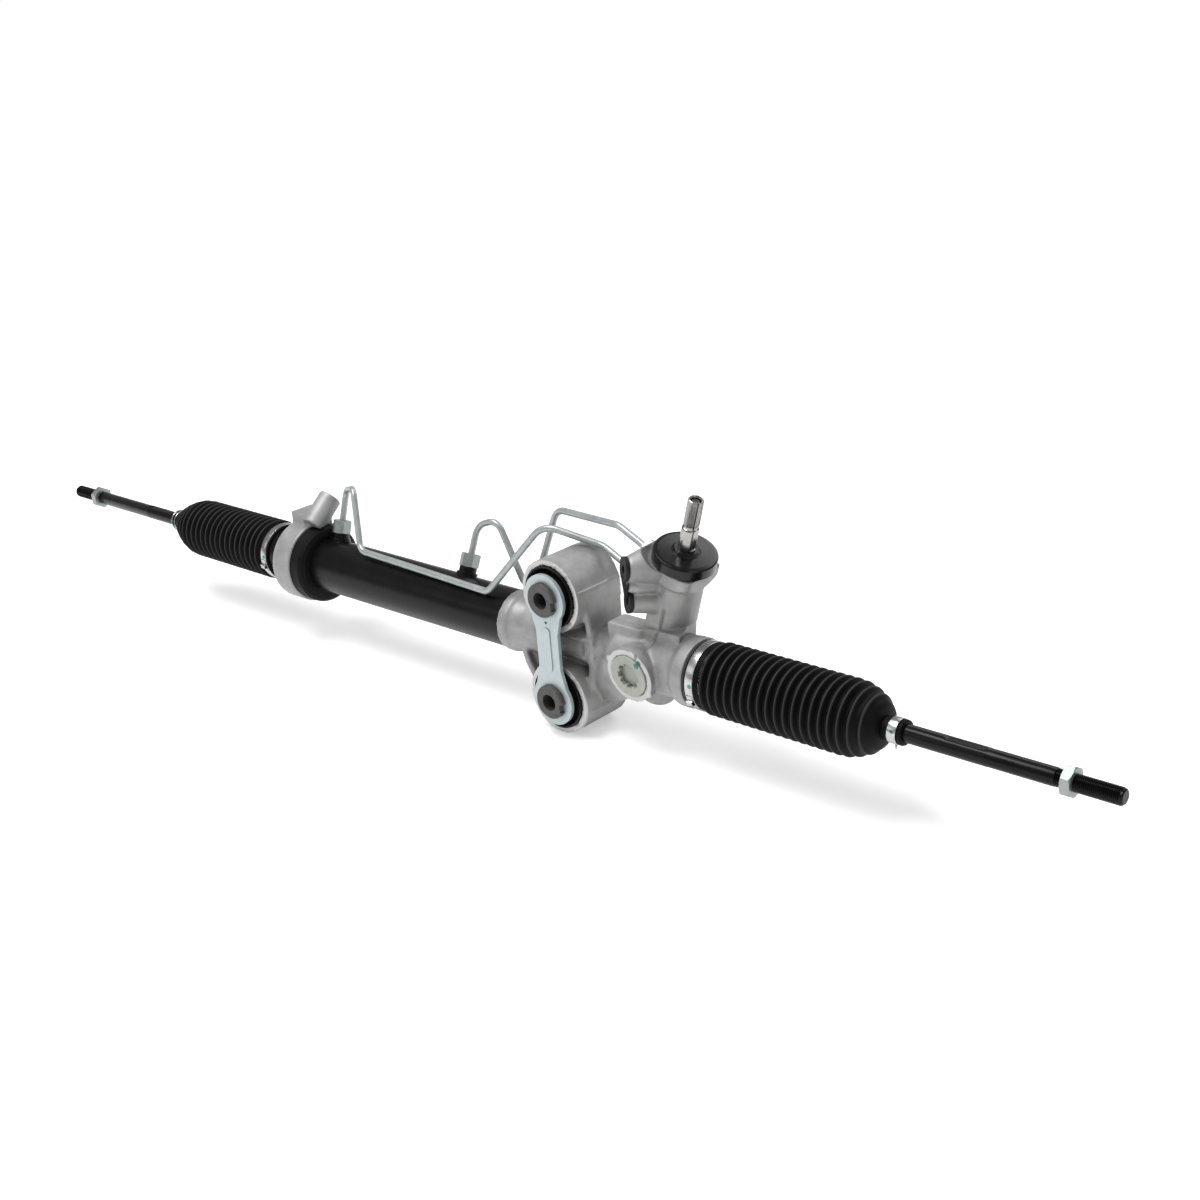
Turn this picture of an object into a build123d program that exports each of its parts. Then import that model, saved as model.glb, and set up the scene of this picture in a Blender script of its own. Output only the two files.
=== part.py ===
from build123d import *
from math import acos, atan, cos, degrees, pi, radians, sin, sqrt, tan
import os

# Power steering gear: rack and pinion with a hydraulic cylinder on one side.
# Drawn in millimetres about the rack's own axis: +X runs along the rack towards the pinion end,
# +Y to the rear, +Z up, with X = 0 at the pair of mounting bushes. On export all pieces move down
# by BUSH_Z, so that the part's origin is the upper bush's bolt axis.

RUN = 0.05             # radial running clearance of every sliding or turning fit
GAP = 0.3              # air between pieces of different bodies

# mounting bushes
BUSH_Z = 49.0          # each bolt axis above and below the rack axis
BOSS_R = 34.0
BOSS_FRONT = -30.0
BOSS_BACK = 26.0
BLOCK_FRONT = -27.0     # front of the flanks at the bushes
SCALLOP_FRONT = -17.0   # front of the flanks beside the rack tunnel
RIDGE_Z = 58.0          # where the flat flanks end above and below
FLANK_WALL = 6.5
FLANK_ROUND = 3.0
POCKET_FLOOR = -6.0
POCKET_ROUND = 5.0
SHELL_R = 28.5
SHELL_WALL = 1.5
SLEEVE_R = 15.8
BOLT_R = 7.8
SLEEVE_FRONT = -43.0
SLEEVE_BACK = 33.0

# rack and its cylinder
RACK_R = 14.0
TUBE_R = 27.5
TUBE_WALL = 4.0
TUBE_BORE_R = TUBE_R - TUBE_WALL
TUBE_LEFT = -436.0
TUBE_RIGHT = -75.0
HOUSING_RIGHT = 162.5
TUNNEL_R = 31.0
NECK_RIGHT_R = 27.0     # between the yoke boss and the collar
MOUTH_LEFT = 133.0       # left edge of the collar beside the bellows
WAIST_RIGHT = 50.0       # where the waist starts to widen towards the yoke boss
TUNNEL_WAIST_R = 21.0   # between the bushes
NECK_R = 23.5           # between the flange and the bushes
FLANGE_R = 29.0
SEAL_SEAT_LONG = 12.0
CHEEK_FRONT = -8.0
CHEEK_BACK = 18.0
CHEEK_RIGHT = 58.0
CHEEK_LEFT = -54.0
CHEEK_HALF = 9.0
SHELF_LEFT = 51.0
SHELF_TOP = 31.5
FOOT_RIGHT = 131.0
FOOT_FRONT = -11.5
FOOT_BACK = 24.0
FOOT_TOP = 34.0
TRAVEL = 71.5          # rack travel to each side
SPIGOT_END = -143.0    # nose of the housing's spigot inside the tube
CHAMBER_LEFT = -351.0
PISTON_LONG = 14.0
SEAL_R = 20.0

# tie rods
BALL_R = 14.0
SEAT_WALL = 2.0
SOCKET_R = 20.0
SOCKET_TO_BALL = 36.0  # shoulder of the socket to the ball's centre
SOCKET_LIP = 7.0       # ball's centre to the socket's mouth
STUB_R = 8.0           # threaded nose of the rack bar
STUB_LONG = 18.0
SHANK_R = 7.5
THREAD_R = 7.0         # M14
THREAD_PITCH_R = 6.5   # where rod and jam nut meet
ROD_R = 7.3            # rod between its wrench flats and its thread
THREAD_RUN = 10.5      # thread on the inner side of the jam nut's middle
NUT_FLATS = 22.0
NUT_THICK = 8.0
RIGHT_ROD_END = 524.0
LEFT_ROD_END = -839.0
RIGHT_NUT = 482.5
LEFT_NUT = -791.0
RIGHT_FLATS = 380.0
LEFT_FLATS = -645.0
FLATS_LONG = 37.0

# bellows
CREST_R = 31.7
VALLEY_R = 26.5
CUFF_WALL = 1.9
CUFF_R = TUBE_R + CUFF_WALL
RIGHT_CUFF = 147.5
LEFT_CUFF = -421.0
CUFF_LONG = 14.0
RIGHT_SMALL = 338.0
LEFT_SMALL = -622.0
RIGHT_FOLDS_END = 302.0
LEFT_FOLDS_END = -595.0
SMALL_CUFF_R = 10.0
FOLDS = 20

# pinion and valve
PINION_X = 90.85       # where the pinion axis passes the rack
PINION_BACK = 16.5     # pinion axis behind the rack axis
YOKE_DIP = 5.6         # degrees that the yoke points below level
LEAN = 20.1            # degrees between the pinion and the square to the rack
TEETH = 8
MODULE = 2.0           # normal module of the teeth
SHIFT = 0.3            # profile shift of the pinion, in modules
PRESSURE = 20.0
BACKLASH = 0.1
FACE_HALF = 15.0       # half the pinion's toothed length
JOURNAL_R = 8.5
TOWER_R = 21.0
VALVE_BORE_R = 16.5
SLEEVE_BORE_R = 11.0
TOWER_TOP = 99.6
TOWER_BOTTOM = -51.0
FLANGE_WIDE = 47.0
FLANGE_CORNER = 7.0
FLANGE_THICK = 9.0
FLANGE_TAPER = 8.5
COVER_TOP = 111.5
COVER_R = 27.7
COVER_CLEAR = COVER_TOP + 25
SHAFT_TOP = 163.8
SHAFT_R = 7.4
SPLINE_R = 6.8

# valve housing
OUTER_PORTS = [(94.1, 49.0), (59.6, 40.7)]  # height on the pinion axis and reach of each outer port
OUTER_TURN = 35.0
OUTER_PORT_R = 10.8
PORT_ROOT_R = 22.0      # upper port boss where it leaves the tower
PORT_ROOT_RISE = 2.0
PORT_ROOT_BEHIND = 9.0   # its root stands behind the line of the port
PAD_LEFT = -14.0         # flat pad on the tower, across the tower's side
PAD_WIDE = 15.5
PORT_BORE_R = 7.0
LINE_PORTS = [52.4, 84.3]
LINE_TURN = 98.0
LINE_SEAT = 31.0       # seat of the flare nuts, from the pinion axis
VALVE_MID = 64.0
BOTTOM_CAP_R = 15.0
LOW_BEARING_R = 14.0
TOP_BEARING_R = 16.0
SEAL_SEAT_R = 17.5

# yoke
YOKE_R = 17.0
PLUG_R = 19.3
YOKE_RIM_R = 24.8
YOKE_RIM = 33.5        # rim of the yoke boss in front of the rack axis
PLUG_FACE = 35.0
PLUG_LONG = 11.0

# far end bracket
RING_LEFT = -396.0
RING_RIGHT = -368.5
RING_R = 42.0
RING_BORE_R = 37.0
LUG_X = -365.0
LUG_R = 12.0
LUG_THREAD_R = 5.1     # M12 core hole
LUG_LONG = 36.0

# pressure lines
LINE_R = 3.2
FRONT_RISE = 80.0        # first bend of the front line above the rack axis
FRONT_BENDS = [(-308.0, 8.0, 87.0), (-283.0, -12.0, 32.0), (-95.0, -17.0, 29.0), (-32.0, 0.0, 101.0)]
FRONT_REACH = 95.0       # last bend from the pinion axis
FRONT_RADII = [10.0, 10.0, 12.0, 12.0, 22.0, 20.0]
REAR_RISE = 76.0
REAR_BENDS = [(-128.0, 34.0, 78.0), (-93.0, 36.0, 3.0), (-47.0, 34.0, 103.0)]
REAR_REACH = 81.0
REAR_RADII = [14.0, 12.0, 11.0, 20.0, 20.0]
FLARE_FLATS = 17.0
FLARE_LONG = 13.0
PORT_TILT = 18.0
END_PORT_X = -341.0
MID_PORT_X = -154.0
MID_PORT_TILT = 25.0
PORT_BOSS_R = 8.5
PORT_TOP = 35.0        # seat of a flare nut, from the rack axis

# places inside the cylinder
LEFT_SHOULDER = TUBE_LEFT - TRAVEL - 0.5
RIGHT_SHOULDER = HOUSING_RIGHT + TRAVEL + 0.5
PISTON_X = (SPIGOT_END + CHAMBER_LEFT) / 2
PISTON_R = TUBE_BORE_R - 0.3
PISTON_GROOVE_R = 21.0
BULKHEAD_LEFT = -415.0
BUSHING_R = 17.0
BUSHING_LONG = 28.0
SEAL_WIDE = 11.0
RETAINER_WIDE = 3.0
END_BUSH_RIGHT = -352.0
END_BUSH_R = 40.0
END_BUSH_NOSE_R = 33.0
LUG_Y = 7.5
LUG_Z = 53.3
LUG_TILT = 50.0        # lug axis leaning back from upright
LUG_THREAD = 26.0
TOOTHED_HALF = 100.0

# details of the gaiters and clamps
SMALL_CUFF_LONG = 12.0   # small cuff beyond the middle of its clamp
CLAMP_WIDE = 8.0
CLAMP_THICK = 0.8
CLAMP_EAR = 130.0
SMALL_EAR = 150.0

# details of the valve
LOW_BEARING = (-38.0, -26.0)
NUT_LOW = -44.0
PINION_END = 40.0
VALVE_LOW = 36.0
VALVE_HIGH = 80.0
VALVE_SLEEVE_R = 16.2
VALVE_RINGS = [40.0, 51.0, 62.0, 73.0]
VALVE_RING_STEP = 11.0
INPUT_R = 9.0
GROOVE = 135.0
TORSION_R = 3.2
TORSION_HEAD_R = 4.3
PIN_DROP = 11.8         # torsion pin below the shaft's end
PIN_HEIGHT = SHAFT_TOP - PIN_DROP
PIN_TURN = 130.0        # degrees about the pinion axis, from the yoke's side
SHAFT_FLAT = 6.4        # flat of the input shaft, from its axis
PIN_R = 1.25

# details of the yoke and bushes
LINER = 1.0
PLUNGER_BACK = 22.5
SPRING_SEAT = 17.5
DISCS = 4              # disc springs behind the plunger
DISC_R = 8.2
DISC_BORE_R = 4.2
O_RING = 18.5
PLUG_SOCKET = 7.0
SOCKET_CORNER = 11.5
SLEEVE_BODY_R = 13.0
PLATE_BACK = -34.5
PLATE_THICK = 3.5
PLATE_EYE = 23.0
PLATE_WAIST = 26.0
KEY_DEEP = 3.0
KEY_WIDE = 8.0


def unit(v):
    return Vector(*v).normalized()


def turn_x(points):
    """Solid of revolution about the rack axis from (x, radius) points."""
    outline = Polyline(*[(x, r) for x, r in points], close=True)
    face = make_face(outline)
    return revolve(face, Axis.X, 360)


def cyl(start, direction, radius, length):
    """Cylinder from a start point along a direction."""
    plane = Plane(origin=tuple(start), z_dir=tuple(unit(direction)))
    return extrude(plane * Circle(radius), length)


def ring_x(x0, x1, outer, inner):
    return turn_x([(x0, inner), (x1, inner), (x1, outer), (x0, outer)])


# yoke direction, square to it, pinion axis and its side direction
YOKE = Vector(0, -cos(radians(YOKE_DIP)), -sin(radians(YOKE_DIP)))
RISE = Vector(0, -sin(radians(YOKE_DIP)), cos(radians(YOKE_DIP)))
PINION = RISE * cos(radians(LEAN)) + Vector(1, 0, 0) * sin(radians(LEAN))
SIDE = PINION.cross(YOKE)
FOOT = Vector(PINION_X, 0, 0) - YOKE * PINION_BACK
YOKE_CENTRE = Vector(PINION_X, 0, 0)
VALVE = Plane(origin=FOOT, x_dir=YOKE, z_dir=PINION)


def turn_valve(points):
    """Solid of revolution about the pinion axis from (radius, height) points."""
    face = make_face(Polyline(*[(r, z) for r, z in points], close=True))
    stood = Plane(origin=FOOT, x_dir=YOKE, z_dir=-SIDE) * face
    return revolve(stood, Axis(FOOT, PINION), 360)


def around_valve(height, degrees_from_yoke):
    """Outward direction square to the pinion axis, turned from the yoke towards -SIDE."""
    a = radians(degrees_from_yoke)
    return YOKE * cos(a) - SIDE * sin(a), FOOT + PINION * height


def pipe_run(points, radius, bends):
    """Closed round bar along a path of straight legs, with a radius for each bend."""
    pts = [Vector(*p) for p in points]
    edges = []
    last = pts[0]
    for before, corner, after, bend in zip(pts, pts[1:], pts[2:], bends):
        a = (before - corner).normalized()
        b = (after - corner).normalized()
        half = acos(a.dot(b)) / 2
        cut = bend / tan(half)
        start = corner + a * cut
        end = corner + b * cut
        middle = corner + (a + b).normalized() * (bend / sin(half) - bend)
        edges.append(Line(last, start))
        edges.append(ThreePointArc(start, middle, end))
        last = end
    edges.append(Line(last, pts[-1]))
    path = Wire([e.edge() if hasattr(e, "edge") else e for e in edges])
    section = Plane(origin=pts[0], z_dir=(pts[1] - pts[0]).normalized()) * Circle(radius)
    return sweep(section, path=path)


# ---------------------------------------------------------------- toothing
PITCH_R = TEETH * MODULE / (2 * cos(radians(LEAN)))
TRANSVERSE_ANGLE = atan(tan(radians(PRESSURE)) / cos(radians(LEAN)))
BASE_R = PITCH_R * cos(TRANSVERSE_ANGLE)
PINION_TIP = PITCH_R + MODULE * (0.95 + SHIFT)
PINION_ROOT = PITCH_R - MODULE * (1.2 - SHIFT)
RACK_LINE = PINION_BACK - PITCH_R - MODULE * SHIFT - BACKLASH / 2
RACK_TIP = RACK_LINE + MODULE * 0.95
RACK_ROOT = RACK_LINE - MODULE * 1.2
RACK_PITCH = pi * MODULE


def involute_angle(radius):
    a = acos(min(1.0, BASE_R / radius))
    return tan(a) - a


def tooth_half_angle(radius):
    """Half angle of one pinion tooth in the plane square to its axis."""
    turned = MODULE / cos(radians(LEAN))
    thick = turned * (pi / 2 + 2 * SHIFT * tan(radians(PRESSURE))) - BACKLASH
    return thick / (2 * PITCH_R) + involute_angle(PITCH_R) - involute_angle(radius)


def pinion_toothing():
    """Helical toothed body, one tooth pointing straight at the rack at the crossing point."""
    steps = 5
    low = max(BASE_R, PINION_ROOT) + 0.02
    radii = [low + (PINION_TIP - low) * i / steps for i in range(steps + 1)]
    parts = []
    for k in range(TEETH):
        mid = 2 * pi * k / TEETH
        rise = [(r, mid - tooth_half_angle(r)) for r in radii]
        fall = [(r, mid + tooth_half_angle(r)) for r in reversed(radii)]
        foot_in = (PINION_ROOT, rise[0][1])
        foot_out = (PINION_ROOT, fall[-1][1])
        parts.append([foot_in] + rise + fall + [foot_out])
    points = [(r * cos(a), r * sin(a)) for tooth in parts for r, a in tooth]
    section = make_face(Polyline(*points, close=True))
    twist = -degrees(tan(radians(LEAN)) * 2 * FACE_HALF / PITCH_R)
    section = Pos(0, 0, -FACE_HALF) * Rot(0, 0, -twist / 2) * section
    body = Solid.extrude_linear_with_rotation(
        section.face(), (0, 0, -FACE_HALF), (0, 0, 2 * FACE_HALF), twist
    )
    return VALVE.location * body


def rack_gaps():
    """Tooth spaces of the rack, straight across, one centred on the pinion's crossing point."""
    reach = 16
    slope = tan(radians(PRESSURE))
    top = RACK_TIP + 0.02
    gaps = []
    for k in range(-reach, reach + 1):
        x = PINION_X + k * RACK_PITCH
        half = RACK_PITCH / 4 + BACKLASH / 4
        wide = half + (top - RACK_LINE) * slope
        narrow = half - (RACK_LINE - RACK_ROOT) * slope
        outline = [(x - narrow, RACK_ROOT), (x + narrow, RACK_ROOT), (x + wide, top), (x - wide, top)]
        plane = Plane(origin=(0, 0, 0), x_dir=(1, 0, 0), z_dir=RISE)
        face = make_face(Polyline(*outline, close=True))
        gaps.append(extrude(plane * face, RACK_R, both=True))
    return gaps


# ---------------------------------------------------------------- housing
def bush_block():
    """Carrier of both bushes: flat flanks, a scalloped front, and a pocket that leaves the rack tunnel clear."""
    middle = (BLOCK_FRONT + BOSS_BACK - 1) / 2
    block = Pos(0, middle, 0) * Box(2 * BOSS_R, BOSS_BACK - 1 - BLOCK_FRONT, 2 * RIDGE_Z)
    scallop = make_face(
        ThreePointArc((BLOCK_FRONT, -RIDGE_Z), (SCALLOP_FRONT, 0), (BLOCK_FRONT, RIDGE_Z))
        + Polyline((BLOCK_FRONT, RIDGE_Z), (BLOCK_FRONT - 9, RIDGE_Z), (BLOCK_FRONT - 9, -RIDGE_Z),
                   (BLOCK_FRONT, -RIDGE_Z))
    )
    block -= extrude(Plane.YZ * scallop, BOSS_R + 1, both=True)
    block = fillet(block.edges().filter_by(GeomType.CIRCLE), FLANK_ROUND)
    pocket = Pos(0, POCKET_FLOOR - 20, 0) * Box(2 * (BOSS_R - FLANK_WALL), 40, 2 * BUSH_Z)
    pocket = fillet(pocket.edges().filter_by(Axis.Y), POCKET_ROUND)
    block -= pocket
    for side in (1, -1):
        block += cyl((0, BOSS_FRONT, side * BUSH_Z), (0, 1, 0), BOSS_R, BOSS_BACK - BOSS_FRONT)
    return block


def tunnel_body():
    """Outside of the rack tunnel, from the flange on the tube to the mouth under the big bellows cuff."""
    outline = [
        (SPIGOT_END, TUBE_BORE_R), (TUBE_RIGHT, TUBE_BORE_R), (TUBE_RIGHT, FLANGE_R),
        (TUBE_RIGHT + 9, FLANGE_R), (TUBE_RIGHT + 11, NECK_R + 3), (TUBE_RIGHT + 22, NECK_R),
        (-BOSS_R, NECK_R), (-BOSS_R + 8, TUNNEL_WAIST_R), (WAIST_RIGHT, TUNNEL_WAIST_R),
        (WAIST_RIGHT + 11, NECK_RIGHT_R), (MOUTH_LEFT - 4, NECK_RIGHT_R), (MOUTH_LEFT, TUNNEL_R - 1),
        (MOUTH_LEFT + 1, TUNNEL_R), (RIGHT_CUFF - 2, TUNNEL_R), (RIGHT_CUFF - 1.5, TUNNEL_R - 0.5),
        (RIGHT_CUFF - 1.5, TUBE_R),
        (HOUSING_RIGHT, TUBE_R), (HOUSING_RIGHT, 0), (SPIGOT_END, 0),
    ]
    return turn_x(outline)


def cheek():
    """Sloping cheeks from the lower bush to the rack tunnel, the wide one also to the yoke boss."""
    side = make_face(
        Polyline((-TUNNEL_R + 2, 0), (-TUNNEL_R + 4, -15), (CHEEK_FRONT, -BUSH_Z - 3), (CHEEK_BACK, -BUSH_Z - 3),
                 (CHEEK_BACK, 0), close=True)
    )
    front = make_face(
        Polyline((BOSS_R - 4, 0), (PINION_X, 0), (PINION_X - 8, -TUNNEL_R), (CHEEK_RIGHT, -BUSH_Z + 4),
                 (BOSS_R - 4, -BUSH_Z - 3), close=True)
    )
    wide = extrude(Plane.YZ * side, PINION_X) & extrude(Plane.XZ * front, 60, both=True)
    # the wide cheek starts level with the scalloped flank and comes forward to the yoke boss
    ahead = make_face(
        Polyline((0, SCALLOP_FRONT - 1), (BOSS_R + 4, SCALLOP_FRONT - 1), (CHEEK_RIGHT + 4, -TUNNEL_R),
                 (CHEEK_RIGHT + 4, -TUNNEL_R - 9), (0, -TUNNEL_R - 9), close=True)
    )
    wide -= extrude(Plane.XY * ahead, 2 * BUSH_Z, both=True)
    narrow = Plane.XZ * make_face(
        Polyline((-BOSS_R + 4, 0), (CHEEK_LEFT, 0), (CHEEK_LEFT, -NECK_R + 4), (-BOSS_R + 1, -BUSH_Z),
                 (-BOSS_R + 4, -BUSH_Z), close=True)
    )
    return wide + extrude(narrow, CHEEK_HALF, both=True)


def tower_flange():
    """Square seat of the dust cover with rounded corners, drawn in to the round tower below."""
    long = FLANGE_THICK + FLANGE_TAPER
    square = RectangleRounded(FLANGE_WIDE, FLANGE_WIDE, FLANGE_CORNER)
    plate = extrude(VALVE * Pos(0, 0, TOWER_TOP - long) * square, long)
    drawn_in = turn_valve([(0, TOWER_TOP - long), (TOWER_R, TOWER_TOP - long), (FLANGE_WIDE * 0.66, TOWER_TOP - FLANGE_THICK),
                           (FLANGE_WIDE * 0.66, TOWER_TOP), (0, TOWER_TOP)])
    return plate & drawn_in


def port_bosses():
    """Bosses of the two hose ports with the web that joins them to the tower."""
    bosses = None
    roots = ((PORT_ROOT_R, PORT_ROOT_RISE, PORT_ROOT_BEHIND), (OUTER_PORT_R + 2, 0, 0))
    for (height, reach), (root, rise, behind) in zip(OUTER_PORTS, roots):
        out, at = around_valve(height, OUTER_TURN)
        root_centre = at + out * 8 + PINION * rise + out.cross(PINION) * behind
        boss = loft([Plane(origin=at + out * reach, z_dir=out) * Circle(OUTER_PORT_R),
                     Plane(origin=root_centre, z_dir=out) * Circle(root)])
        bosses = boss if bosses is None else bosses + boss
    out, at = around_valve((OUTER_PORTS[0][0] + OUTER_PORTS[1][0]) / 2, OUTER_TURN)
    return bosses + cyl(at, out, OUTER_PORT_R - 3, OUTER_PORTS[1][1] - 0.5)


def make_housing():
    body = tunnel_body() + bush_block() + cheek()
    # yoke boss with its screwed rim and two ears
    body += cyl(YOKE_CENTRE, YOKE, YOKE_RIM_R - 1.3, YOKE_RIM - 8)
    body += cyl(YOKE_CENTRE + YOKE * (YOKE_RIM - 9), YOKE, YOKE_RIM_R, 9)
    for a in (150, -35):
        ear = YOKE_CENTRE + Vector(1, 0, 0) * (cos(radians(a)) * (YOKE_RIM_R - 1)) + RISE * (
            sin(radians(a)) * (YOKE_RIM_R - 1)
        )
        body += cyl(ear + YOKE * (YOKE_RIM - 7), YOKE, 3.4, 7)
    # valve tower on its foot, over the bearing boss under the rack
    body += turn_valve(
        [(0, TOWER_BOTTOM), (BOTTOM_CAP_R + 0.6, TOWER_BOTTOM), (18.5, TOWER_BOTTOM + 9), (19, -20), (TOWER_R + 1, 8),
         (TOWER_R + 1, 30), (TOWER_R, 36), (TOWER_R, TOWER_TOP - 8), (0, TOWER_TOP - 8)]
    )
    body += tower_flange()
    body += Pos(0, FOOT_FRONT, 0) * Box(FOOT_RIGHT - PINION_X, FOOT_BACK - FOOT_FRONT, FOOT_TOP,
                                        align=(Align.MIN, Align.MIN, Align.MIN)).moved(Location((PINION_X, 0, 0)))
    body += Pos(SHELF_LEFT, FOOT_FRONT - 2.5, 0) * Box(PINION_X - SHELF_LEFT, FOOT_BACK - FOOT_FRONT, SHELF_TOP,
                                                       align=(Align.MIN, Align.MIN, Align.MIN))
    # flat pad on the tower's side, under the hose ports
    rib = VALVE * Pos(0, PAD_LEFT, SHELF_TOP / 2) * Box(TOWER_R + 0.5, PAD_WIDE, 42, align=(Align.MIN, Align.MIN, Align.MIN))
    body += rib
    body += port_bosses()
    for height in LINE_PORTS:
        out, at = around_valve(height, LINE_TURN)
        body += cyl(at, out, 10.2, LINE_SEAT)

    # rack tunnel, seal seat and the wide bore at the open end
    body -= turn_x([(SPIGOT_END - 1, 0), (SPIGOT_END - 1, SEAL_R), (SPIGOT_END + SEAL_SEAT_LONG, SEAL_R),
                    (SPIGOT_END + SEAL_SEAT_LONG, RACK_R + 1.2), (HOUSING_RIGHT - 26, RACK_R + 1.2),
                    (HOUSING_RIGHT - 20, 22), (HOUSING_RIGHT + 1, 22), (HOUSING_RIGHT + 1, 0)])
    for side in (1, -1):
        body -= cyl((0, BOSS_FRONT - 1, side * BUSH_Z), (0, 1, 0), SHELL_R, 80)
    body -= cyl(YOKE_CENTRE, YOKE, YOKE_R, YOKE_RIM + 1)
    body -= cyl(YOKE_CENTRE + YOKE * (PLUG_FACE - PLUG_LONG), YOKE, PLUG_R, PLUG_LONG + 2)
    cap_seat = NUT_LOW - 3
    body -= turn_valve(
        [(0, TOWER_BOTTOM - 3), (BOTTOM_CAP_R, TOWER_BOTTOM - 3), (BOTTOM_CAP_R, cap_seat), (LOW_BEARING_R, cap_seat),
         (LOW_BEARING_R, LOW_BEARING[1]), (PINION_TIP + 0.6, LOW_BEARING[1]), (PINION_TIP + 0.6, 18),
         (TOP_BEARING_R, 18), (TOP_BEARING_R, 33), (VALVE_BORE_R, 33), (VALVE_BORE_R, 84), (SEAL_SEAT_R, 84),
         (SEAL_SEAT_R, COVER_CLEAR), (0, COVER_CLEAR)]
    )
    # the dust cover stands on the flange
    body -= turn_valve([(SEAL_SEAT_R - 1, TOWER_TOP), (COVER_R + 0.6, TOWER_TOP), (COVER_R + 0.6, COVER_CLEAR),
                        (SEAL_SEAT_R - 1, COVER_CLEAR)])
    for height, reach in OUTER_PORTS:
        out, at = around_valve(height, OUTER_TURN)
        body -= cyl(at + out * (reach - 18), out, PORT_BORE_R, 20)
        inner = at + PINION * (VALVE_MID - height) * 0.45
        body -= cyl(inner + out * (VALVE_BORE_R - 3), (at + out * (reach - 16)) - (inner + out * (VALVE_BORE_R - 3)),
                    2.5, reach - 16 - VALVE_BORE_R + 5)
    for height in LINE_PORTS:
        out, at = around_valve(height, LINE_TURN)
        body -= cyl(at + out * (LINE_SEAT - 9), out, LINE_R + 0.8, 10)
        inner = at + PINION * (min(height, 74) - height)
        body -= cyl(inner + out * (VALVE_BORE_R - 3), (at + out * (LINE_SEAT - 8)) - (inner + out * (VALVE_BORE_R - 3)),
                    2.0, LINE_SEAT - VALVE_BORE_R - 3)
    return body


# ---------------------------------------------------------------- cylinder side
def port_line(x, tilt):
    """Outward direction of a line port on the tube, and the point on the rack axis under it."""
    return Vector(0, sin(radians(tilt)), cos(radians(tilt))), Vector(x, 0, 0)


def make_tube():
    tube = turn_x([(TUBE_LEFT, 0), (TUBE_RIGHT, 0), (TUBE_RIGHT, TUBE_R), (TUBE_LEFT, TUBE_R)])
    for x, tilt in ((END_PORT_X, PORT_TILT), (MID_PORT_X, MID_PORT_TILT)):
        out, at = port_line(x, tilt)
        tube += cyl(at, out, PORT_BOSS_R, PORT_TOP)
        tube += cyl(at, out, PORT_BOSS_R + 1.8, TUBE_R + 2.2)
        tube -= cyl(at, out, LINE_R + 0.8, PORT_TOP + 1)
    tube -= turn_x([(TUBE_LEFT - 1, 0), (TUBE_RIGHT + 1, 0), (TUBE_RIGHT + 1, TUBE_BORE_R),
                    (TUBE_LEFT - 1, TUBE_BORE_R)])
    tube -= ring_x(BULKHEAD_LEFT - RETAINER_WIDE, BULKHEAD_LEFT, TUBE_BORE_R + 1.5, TUBE_BORE_R - 1)
    return tube


def make_end_bush():
    """Rubber cushion between the tube and the far bracket, with a thick shoulder on the inner side."""
    return turn_x(
        [(RING_LEFT + 1, TUBE_R), (END_BUSH_RIGHT, TUBE_R), (END_BUSH_RIGHT, END_BUSH_NOSE_R),
         (END_BUSH_RIGHT - 1.2, END_BUSH_R - 2.5), (END_BUSH_RIGHT - 4, END_BUSH_R), (RING_RIGHT, END_BUSH_R), (RING_RIGHT, RING_BORE_R), (RING_LEFT + 1, RING_BORE_R)]
    )


def make_end_bracket():
    out = Vector(0, sin(radians(LUG_TILT)), cos(radians(LUG_TILT)))
    start = Vector(LUG_X, LUG_Y, LUG_Z) - out * (LUG_LONG / 2)
    body = turn_x([(RING_LEFT, 0), (RING_RIGHT, 0), (RING_RIGHT, RING_R - 1), (RING_RIGHT - 1, RING_R),
                   (RING_LEFT + 1, RING_R), (RING_LEFT, RING_R - 1)])
    body += Pos((RING_LEFT + LUG_X) / 2, 5, 43) * Box(LUG_X - RING_LEFT, 27, 20)
    body += cyl(start, out, LUG_R, LUG_LONG)
    body += Pos(LUG_X - 2, 4, 38) * Box(20, 20, 18)
    body -= turn_x([(RING_LEFT - 1, 0), (RING_RIGHT + 30, 0), (RING_RIGHT + 30, END_BUSH_R + GAP),
                    (RING_RIGHT, END_BUSH_R + GAP), (RING_RIGHT, RING_BORE_R), (RING_LEFT - 1, RING_BORE_R)])
    body -= cyl(start + out * (LUG_LONG - LUG_THREAD), out, LUG_THREAD_R, LUG_THREAD + 1)
    return body


def make_bulkhead():
    """Sleeve that closes the chamber's far end and carries the rack bushing and the outer seal."""
    return turn_x(
        [(BULKHEAD_LEFT, BUSHING_R), (BULKHEAD_LEFT + BUSHING_LONG, BUSHING_R),
         (BULKHEAD_LEFT + BUSHING_LONG, RACK_R + 1.2), (CHAMBER_LEFT - SEAL_WIDE, RACK_R + 1.2),
         (CHAMBER_LEFT - SEAL_WIDE, SEAL_R), (CHAMBER_LEFT, SEAL_R), (CHAMBER_LEFT, TUBE_BORE_R),
         (BULKHEAD_LEFT, TUBE_BORE_R)]
    )


def make_seal(x0, x1):
    lip = RACK_R + RUN
    return turn_x([(x0, lip + 1.5), (x0 + 2, lip), (x0 + 4, lip), (x0 + 5, lip + 1), (x1, lip + 1), (x1, SEAL_R),
                   (x0, SEAL_R)])


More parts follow.
